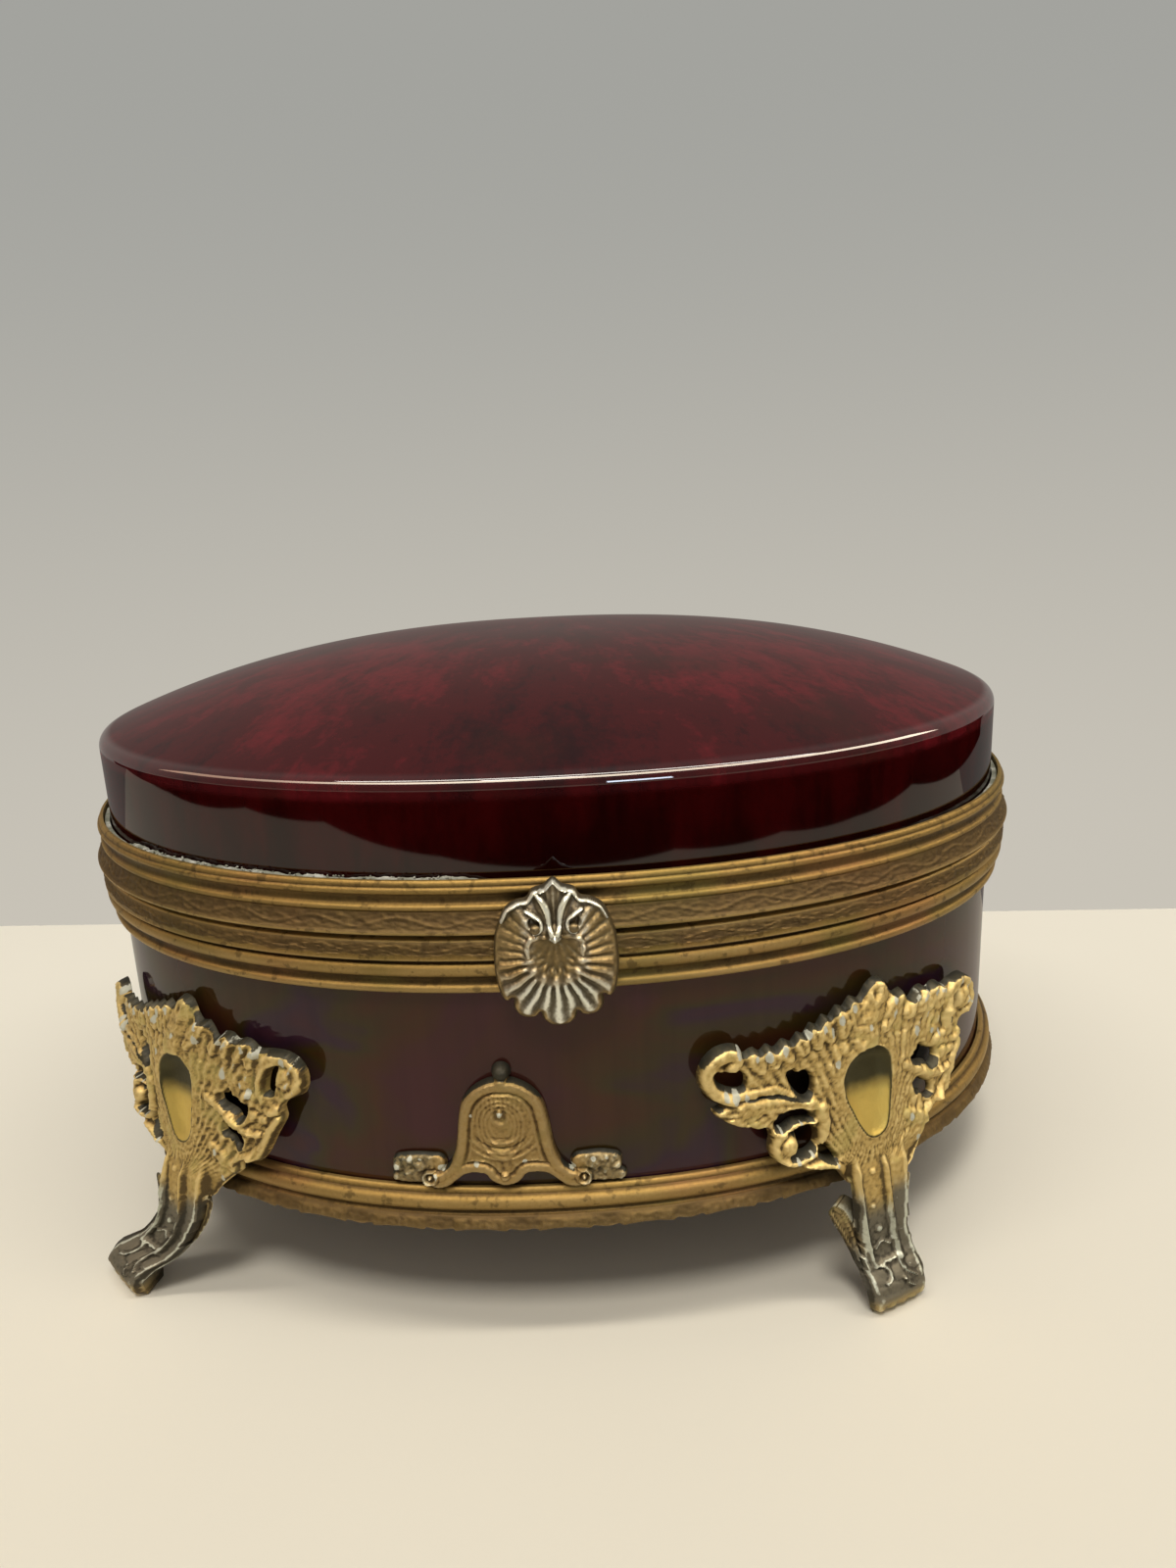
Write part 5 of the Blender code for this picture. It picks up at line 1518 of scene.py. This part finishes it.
# Shell clasp: radiating flutes, two volutes and a dished middle

shellCast = {
    "side": [
        (0, 94.0), (1.5, 92.7), (3.4, 92.1), (4.4, 90.6), (6.0, 90.2), (7.9, 89.0), (9.0, 86.9),
        (9.9, 84.3), (10.2, 81.5), (10.3, 78.3), (10.0, 75.2), (9.4, 72.8), (8.5, 71.9), (7.5, 72.4),
        (7.5, 70.7), (6.6, 69.2), (5.1, 68.7), (3.8, 68.9), (3.1, 69.6), (2.7, 68.3), (1.5, 67.2),
        (0, 66.9),
    ],
    "rays": 28,
    "dome": 2.0,
    "plate": 0.9,
    "ribs": [  # crown, then (along, height, half width) on the right side
        (1.25, [(0.3, 84.0, 0.75), (0.75, 86.0, 0.42), (1.05, 88.4, 0.55), (1.7, 90.2, 0.62),
                (2.5, 91.2, 0.5)]),
        (0.95, [(0.3, 93.6, 0.4), (1.4, 92.5, 0.55), (3.2, 91.8, 0.7), (4.3, 90.4, 0.7), (5.8, 90.0, 0.7),
                (7.6, 88.8, 0.55), (8.6, 86.8, 0.35)]),
        (0.85, [(4.6, 88.6, 0.3), (3.5, 88.1, 0.42), (2.4, 87.2, 0.40), (2.1, 86.1, 0.36),
                (2.6, 85.3, 0.32), (3.4, 85.0, 0.25)]),
        (0.40, [(1.2, 84.0, 0.45), (2.6, 84.3, 0.5), (3.9, 83.9, 0.5), (4.6, 82.6, 0.5),
                (4.4, 80.9, 0.4)]),
    ],
    "eye": (3.3, 86.5),
    "fanFrom": (0.0, 85.0),
    "middle": (0.0, 80.9),
}


def ribShares(u, s, ribs):
    # crown of each rib on both sides, and the share of its half width at each point
    for sign in (-1, 1):
        for crown, line in ribs:
            side = [(sign * x, y, wide) for x, y, wide in line]
            yield crown, rollField(u, s, smoothLine(side))[1]


def shellFlutes(u, s, gap):
    # a dome fluted round a dished middle, petals on the dish's edge and buds inside it
    x, y = u - shellCast["middle"][0], s - shellCast["middle"][1]
    angle, radius, rays = np.arctan2(x, -y), np.hypot(x, y), shellCast["rays"]
    reach, inner = np.clip(1 + gap / 9.0, 0, 1), np.hypot(x / 4.6, y / 4.9)
    bottom = 1 - smoothStep(1.1, 1.9, np.abs(angle))
    fluted = smoothStep(1.0, 1.25, inner) * smoothStep(0.35, 1.3, -gap)
    flutes = wave(angle * rays + 0.25 * np.sin(radius * 1.3)) ** 0.8
    tall = shellCast["dome"] * (1 - reach ** 2.6)
    tall += fluted * ((0.34 + 0.34 * bottom) * flutes - 0.30)
    tall += fluted * bottom * 0.35 * (wave(angle * rays / 3) - 0.5) * smoothStep(0.5, 0.9, reach)
    tall -= 0.60 * (1 - smoothStep(0.50, 1.0, inner)) ** 0.8
    fanX, fanY = u - shellCast["fanFrom"][0], shellCast["fanFrom"][1] - s
    veins = wave(np.arctan2(fanX, fanY) * 21) * smoothStep(1.5, 4.0, fanY)
    tall += 0.18 * veins * (1 - smoothStep(0.80, 1.0, inner))
    tall += 0.60 * wave(angle * rays / 2 + 0.6) * ridge(inner - 0.95, 0.20) * (0.4 + 0.6 * bottom)
    return tall + 0.40 * wave(angle * rays / 2 + 3.7) * ridge(inner - 0.62, 0.14) * bottom


def shellField(u, s):
    # the fluted dome, with a smooth flute at the top, ribs of both volutes and their eyes
    gap = outlineGap(u, s, mirrored(shellCast["side"]))
    x, y = u - shellCast["middle"][0], s - shellCast["middle"][1]
    flute = (1 - smoothStep(0.7, 1.2, np.abs(u) - 0.20 * (s - 85.5))) * smoothStep(85.0, 86.5, s)
    strands = 0.10 * np.cos(u * 2 * math.pi / (0.55 + 0.07 * np.maximum(s - 86, 0)))
    tall = shellFlutes(u, s, gap) * (1 - flute) + flute * (1.0 + strands)
    crinkle = 0.35 * np.cos(np.hypot(x, y) * 3 + np.arctan2(x, -y) * 16)
    for crown, share in ribShares(u, s, shellCast["ribs"]):
        tall += crown * (1 + crinkle * (crown < 0.7)) * rounded(share) ** 0.7
    for sign in (-1, 1):
        eye = np.hypot(u - sign * shellCast["eye"][0], s - shellCast["eye"][1])
        tall -= 0.8 * (1 - smoothStep(0.7, 1.1, eye))
    tall += 0.04 * grain(u, s, 0.30, 51) + 0.05 * grain(u, s, 0.8, 52)
    lip = np.clip(-gap / 0.45, 0, 1) ** 0.5
    return gap, (tall + 0.5) * lip - 0.5


def shellPlace(u, s, height, isFront):
    back = (lidRingHigh.x - tubHigh.x) / mm + 0.3
    out = np.where(isFront, back + shellCast["plate"] + height, back)
    return onWall(-90.0, u, out, s)


def shellLayers(u, s, isFront):
    x, y = u - shellCast["middle"][0], s - shellCast["middle"][1]
    side = smoothStep(4.6, 6.0, np.abs(x)) * smoothStep(-6.0, -2.5, y) * (1 - smoothStep(6.5, 8.5, y))
    middle = 1 - smoothStep(3.0, 5.0, np.hypot(x, y * 0.9))
    gap = shellField(u, s)[0]
    rim = smoothStep(-1.3, -0.7, gap) * (1 - smoothStep(-5, 0, y))
    gold = np.clip(np.maximum(np.maximum(side, middle), rim), 0, 1)
    ribs = np.zeros_like(u)
    for _, share in ribShares(u, s, shellCast["ribs"][:3]):
        ribs = np.maximum(ribs, 1 - smoothStep(0.7, 1.3, share))
    bottom = (1 - smoothStep(-6.5, -4.0, y)) * (1 - smoothStep(4.5, 7.0, np.abs(x)) * 0.6)
    rubbed = np.clip(np.maximum(ribs, bottom), 0, 1)
    return {"gold": np.where(isFront, gold * (1 - ribs), 0.8), "rubbed": rubbed * (1 - gold * (1 - ribs))}


shellSheet = castRelief(((-11.5, 11.5), (67.5, 95.2)), 0.16, shellField, shellLayers)
addCast("shellClasp", shellSheet, shellPlace, "lid", "shell", ("shell_clasp",))
shellSheet[0].free()


# Rivets in the clasp's volutes, with round heads

rivet = {"radius": 0.85, "head": 0.7, "shank": 0.55}


def turned(shape, profile, middle, axis, across, steps):
    # spins a profile of (radius, distance) in millimetres about an axis
    profile = [(max(radius, 0) * mm, along * mm) for radius, along in profile]
    made = [shape.verts.new(middle + axis * along + across * radius) for radius, along in profile]
    edges = [shape.edges.new(pair) for pair in zip(made, made[1:])]
    turn = {"cent": middle, "axis": axis, "angle": 2 * math.pi, "steps": steps, "use_merge": True}
    bmesh.ops.spin(shape, geom=made + edges, **turn)


def makeRivets():
    head, size, shank = rivet["head"], rivet["radius"], rivet["shank"]
    for name, node in (("Left", "clasp_rivet_left"), ("Right", "clasp_rivet_right")):
        low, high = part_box(node)
        start = Vector(((low.x + high.x) / 2, high.y, (low.z + high.z) / 2))
        deep = (high.y - low.y) / mm
        profile = [(0, 0), (shank, 0), (shank, deep - head - 0.25), (size, deep - head - 0.15)]
        turns = np.linspace(0, math.pi / 2, 8)
        profile += [(size * math.cos(t), deep - head + head * math.sin(t)) for t in turns]
        shape = bmesh.new()
        turned(shape, profile, start, Vector((0, -1, 0)), Vector((1, 0, 0)), 24)
        closed(shape)
        paint(shape, "tone", [0.36] * len(shape.verts))
        paint(shape, "gold", [0.7] * len(shape.verts))
        addPiece("rivet" + name, shape, "lid", ("shell",), (node,), 50)


makeRivets()


# Hinge: bevelled leaves, turned knuckles and a pin with round ends

hinge = {
    "leafBevel": 0.28,
    "leafThick": 1.0,
    "leafGap": 0.3,  # from the ring
    "clearance": 0.3,  # from the knuckles to the other leaf
    "lap": 0.6,  # how far a knuckle's stem runs into its leaf
    "knuckleBevel": 0.22,
    "bore": 1.3,
    "tongue": 11.0,
    "endGap": 0.4,
    "lineDepth": 0.12,
    "pinRadius": 1.0,
    "knobSwell": 0.75,
}
hingeAt = Vector((0, *frame["joints"][0]["pos_m"][1:]))
leafHigh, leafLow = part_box("lid_hinge_leaf")[1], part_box("base_hinge_leaf")[0]
hingeHalf, knuckleRadius = leafHigh.x / mm, (leafHigh.y - hingeAt.y) / mm


def distinct(items):
    # once each and in a fixed order
    return list(dict.fromkeys(items))


def leafPlate(shape, along, out, height, columns):
    # a plate in flat millimetres, bevelled and cut into columns so that it can be bent
    centre = [sum(pair) / 2 for pair in (along, out, height)]
    size = [pair[1] - pair[0] for pair in (along, out, height)]
    verts = bmesh.ops.create_cube(shape, size=1.0)["verts"]
    for vertex in verts:
        vertex.co = [c + v * d for c, v, d in zip(centre, vertex.co, size)]
    edges = distinct(edge for vertex in verts for edge in vertex.link_edges)
    bevel = {"offset": hinge["leafBevel"], "segments": 3, "profile": 0.5, "affect": "EDGES", "material": -1}
    bevelled = bmesh.ops.bevel(shape, geom=edges, **bevel)
    faces = bevelled["faces"] + [face for vertex in bevelled["verts"] for face in vertex.link_faces]
    for k in range(1, columns):
        cut = (along[0] + size[0] * k / columns, 0, 0)
        faces = [face for face in distinct(faces) if face.is_valid]
        part = distinct(item for face in faces for item in (face, *face.edges, *face.verts))
        done = bmesh.ops.bisect_plane(shape, geom=part, dist=1e-6, plane_co=cut, plane_no=(1, 0, 0))
        faces += [item for item in done["geom"] if isinstance(item, bmesh.types.BMFace)]


def knuckle(wide):
    # profile of one knuckle, with a fine line near each end
    radius, bevel, bore = knuckleRadius, hinge["knuckleBevel"], hinge["bore"]
    profile = [(bore, 0), (radius - bevel, 0), (radius, bevel)]
    for share in (0.1, 0.12, 0.14, 0.86, 0.88, 0.90):
        sunk = hinge["lineDepth"] if share in (0.12, 0.88) else 0
        profile.append((radius - sunk, wide * share))
    return profile + [(radius, wide - bevel), (radius - bevel, wide), (bore, wide), (bore, 0)]


def makeHingeLeaf(body, ringEdge, parts, height, stem):
    # parts are the knuckles' spans along the hinge, and stem the stretch of leaf behind each
    out = (ringEdge - tubHigh.x) / mm + hinge["leafGap"]
    out = (out, out + hinge["leafThick"])
    shape = bmesh.new()
    leafPlate(shape, (-hingeHalf, hingeHalf), out, height, 16)
    for span in parts:
        leafPlate(shape, span, out, stem, 6)
    for vertex in shape.verts:
        vertex.co = Vector(onWall(90.0, np.array(-vertex.co.x), vertex.co.y, vertex.co.z))
    for low, high in parts:
        start = hingeAt + Vector((low, 0, 0)) * mm
        turned(shape, knuckle(high - low), start, Vector((1, 0, 0)), Vector((0, 1, 0)), 48)
    closed(shape)
    paint(shape, "tone", [0.66] * len(shape.verts))
    paint(shape, "chased", [0.15] * len(shape.verts))
    addPiece(body + "HingeLeaf", shape, body, ("gilt",), (body + "_hinge_leaf",), 35)


def makeHingePin():
    low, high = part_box("hinge_pin")
    start, thin = hingeHalf + hinge["endGap"], hinge["pinRadius"]
    end, knob = high.x / mm, (high.y - low.y) / mm / 2
    swell = knob * hinge["knobSwell"]
    turns = np.linspace(-0.9, math.pi / 2, 10)
    ball = [(knob * math.cos(t), start + swell + (end - start - swell) * math.sin(t)) for t in turns]
    other = [(0, -ball[-1][1])] + [(r, -d) for r, d in reversed(ball)]
    profile = other + [(thin, -start), (thin, start)] + ball
    shape = bmesh.new()
    turned(shape, profile, hingeAt, Vector((1, 0, 0)), Vector((0, 1, 0)), 40)
    addPiece("hingePin", closed(shape), "base", ("steel",), ("hinge_pin",), 35)


def makeHinge():
    middle, half, lap = hingeAt.z / mm, hingeHalf, hinge["lap"]
    above, below = middle + knuckleRadius + hinge["clearance"], middle - knuckleRadius - hinge["clearance"]
    tongue, side = hinge["tongue"] / 2, hinge["tongue"] / 2 + hinge["endGap"]
    top, bottom = leafHigh.z / mm, leafLow.z / mm
    makeHingeLeaf("lid", lidRingHigh.x, [(-tongue, tongue)], (above, top), (middle, above + lap))
    knuckles = [(-half, -side), (side, half)]
    makeHingeLeaf("base", baseRingHigh.x, knuckles, (bottom, below), (below - lap, middle))
    makeHingePin()


makeHinge()


# Nodes that keep their own shape take the finer finishes

def dressNodes():
    dressed = {"base_cement_bed": "plaster", "bottom_cement_bed": "plaster"}
    for place in ("front_left", "front_right", "back_left", "back_right"):
        dressed["screw_" + place] = "steel"
    for node, finish in dressed.items():
        thing = frame["nodes"][node]
        thing.data.materials.clear()
        thing.data.materials.append(looks[finish])


dressNodes()
print("pieces made")


# Camera at the photograph's place, from a fit of the rims, crease and bands

camera = {
    "eye": (0.0040, -0.25243, 0.15531),
    "yaw": 0.0159,
    "pitch": 0.2665,
    "roll": -0.0463,
    "focal": 1100.0,  # in pixels of a picture 1600 high
    "tall": 1600.0,
}


def makeCamera():
    values = camera
    yaw, pitch, roll = values["yaw"], values["pitch"], values["roll"]
    ahead = Vector((math.sin(yaw) * math.cos(pitch), math.cos(yaw) * math.cos(pitch), -math.sin(pitch)))
    right = Vector((math.cos(yaw), -math.sin(yaw), 0))
    up = right.cross(ahead)
    across = right * math.cos(roll) + up * math.sin(roll)
    upward = up * math.cos(roll) - right * math.sin(roll)
    data = bpy.data.cameras.new("camera")
    data.sensor_width = 36.0
    data.lens = 36.0 * values["focal"] / values["tall"]
    data.clip_start, data.clip_end = 0.01, 50.0
    thing = bpy.data.objects.new("camera", data)
    bpy.context.scene.collection.objects.link(thing)
    turn = Matrix((across, upward, -ahead)).transposed().to_4x4()
    thing.matrix_world = Matrix.Translation(values["eye"]) @ turn
    bpy.context.scene.camera = thing


# Pale floor that ends in front of a plain grey, two lamps, and cards that only gloss sees

stageLook = {
    "cream": (0.785, 0.730, 0.610),
    # brighter cream for the back of the floor: painted light
    "creamPaintedLightFar": (0.98, 0.925, 0.80),
    "farEdge": ((-0.2234, 0.1487), (0.2197, 0.1053)),
    "near": -6.0,
    "wide": 6.0,
    "greyHigh": (0.366, 0.366, 0.342),
    "greyLow": (0.580, 0.545, 0.475),
    "fill": (0.30, 0.2955, 0.2865),
    "ceiling": (0.27, 0.26, 0.245),
    "behind": (0.36, 0.335, 0.305),
    "front": (0.10, 0.09, 0.08),
    "lamps": {  # place, what it faces, size, power, colour
        "front": ((-0.10, -0.80, 1.40), (0.0, 0.0, 0.05), (0.35, 0.35), 9.3, (1.0, 0.965, 0.90)),
        "strip": ((0.15, -0.30, 1.35), (0.15, -0.10, 0.0), (1.80, 0.12), 8.4, (1.0, 0.95, 0.86)),
    },
    "edge": [
        (-0.60, 0.30), (-0.50, -0.04), (-0.41, -0.23), (-0.29, -0.325), (-0.12, -0.348), (0.12, -0.340),
        (0.25, -0.285), (0.34, -0.200), (0.43, -0.090), (0.45, 0.24),
    ],
    "edgeHigh": 0.06,
    "arc": {"reach": 1.5, "highest": 55.0, "lowest": 27.0, "turn": 100.0, "half": 7.0, "strength": 11.0},
    "arcColours": ((0.30, 0.20, 0.14), (1.0, 0.87, 0.68)),
    "spot": ((0.086, -0.355, 0.150), 0.074, 0.050),
    "spotColour": (0.75, 0.85, 1.0),
    "spotStrength": 14.0,
}


def addSheet(name, rows, finish):
    # rows of points, bent from a flat grid
    points = np.array(rows, float)
    shape, column, row = gridShape(points.shape[1] - 1, points.shape[0] - 1)
    for vertex, i, j in zip(shape.verts, column, row):
        vertex.co = points[j, i]
    mesh = bpy.data.meshes.new(name)
    shape.to_mesh(mesh)
    shape.free()
    mesh.materials.append(finish)
    sheet = bpy.data.objects.new(name, mesh)
    bpy.context.scene.collection.objects.link(sheet)
    return sheet


def addCard(name, rows, finish):
    # shows only in gloss
    card = addSheet(name, rows, finish)
    card.visible_camera = card.visible_diffuse = card.visible_shadow = False


def makeFloor():
    look = stageLook
    floor = Finish("floor")
    place = floor.place()
    mottle = floor.noise(place, 9.0, 3.0, 0.5)
    # floor painted brighter towards the back: painted light where the lamps fall off
    back = floor.between(floor.part(place, 1), -0.30, 0.16)
    cream = floor.mix(back, look["cream"], look["creamPaintedLightFar"])
    cream = floor.mix(mottle * 0.03, cream, (0.0, 0.0, 0.0))
    weave = floor.bump(floor.noise(place, 900.0, 3.0, 0.6), 0.00005, 0.4)
    floor.set(Base_Color=cream, Roughness=0.75, Specular_IOR_Level=0.2, Normal=weave)
    (x0, y0), (x1, y1) = look["farEdge"]
    slope, wide, near = (y1 - y0) / (x1 - x0), look["wide"], look["near"]
    left, right = y0 + slope * (-wide - x0), y0 + slope * (wide - x0)
    rows = ((-wide, near, 0), (wide, near, 0)), ((-wide, left, 0), (wide, right, 0))
    addSheet("floor", rows, floor.owner)


def makeCards():
    look = stageLook
    dark = Finish("darkCard")
    dark.set(Base_Color=(0.010, 0.008, 0.008, 1), Roughness=1.0, Specular_IOR_Level=0.0)
    rows = [[(x, y, high) for x, y in look["edge"]] for high in (0, look["edgeHigh"])]
    addCard("tableEnd", rows, dark.owner)
    spot = Finish("spotCard", "Emission")
    spot.set(Color=(*look["spotColour"], 1), Strength=look["spotStrength"])
    (x, y, z), wide, tall = look["spot"]
    addCard("spot", [[(x + wide * i, y, z + tall * k) for i in (-0.5, 0.5)] for k in (-0.5, 0.5)], spot.owner)
    arc = look["arc"]
    around = np.radians(np.linspace(-arc["turn"], arc["turn"], 41))
    middle = arc["highest"] - (arc["highest"] - arc["lowest"]) * (around / around[-1]) ** 2
    rows = []
    for side in (-1, 1):
        up = np.radians(middle + side * arc["half"])
        aim = np.stack([np.sin(around) * np.cos(up), -np.cos(around) * np.cos(up), np.sin(up)], -1)
        rows.append(aim * arc["reach"] + (0, 0, lidHigh.z))
    pale = Finish("arcCard", "Emission")
    left = pale.between(pale.part(pale.place(), 0), -1.30, -0.45)
    pale.set(Color=pale.mix(left, *look["arcColours"]), Strength=arc["strength"])
    addCard("arc", rows, pale.owner)


def makeLamps():
    for name, (place, target, size, power, colour) in stageLook["lamps"].items():
        data = bpy.data.lights.new(name + "Lamp", "AREA")
        data.shape = "RECTANGLE"
        data.size, data.size_y = size
        data.energy, data.color = power, colour
        lamp = bpy.data.objects.new(name + "Lamp", data)
        lamp.location = place
        lamp.rotation_euler = (Vector(target) - Vector(place)).to_track_quat("-Z", "Y").to_euler()
        bpy.context.scene.collection.objects.link(lamp)


def makeSky():
    look = stageLook
    world = bpy.data.worlds.new("studio")
    bpy.context.scene.world = world
    sky = Finish("studio", "Background", world)
    path = sky.node("LightPath")
    direction = sky.node("TexCoord")[0]
    _, forward, upward = sky.node("SeparateXYZ", {}, {0: direction})
    seen = sky.mix(sky.between(forward, -0.5, 0.4), look["front"], look["behind"])
    seen = sky.mix(sky.between(upward, 0.45, 0.95), seen, look["ceiling"])
    colour = sky.mix(path[3], look["fill"], seen)
    shown = sky.mix(sky.between(upward, -0.36, 0.34), look["greyLow"], look["greyHigh"])
    sky.set(Color=sky.mix(path[0], colour, shown), Strength=1.0)


def makeStage():
    makeFloor()
    makeCards()
    makeLamps()
    makeSky()


makeCamera()
makeStage()
bpy.context.scene.view_settings.view_transform = "Standard"
print("stage made")
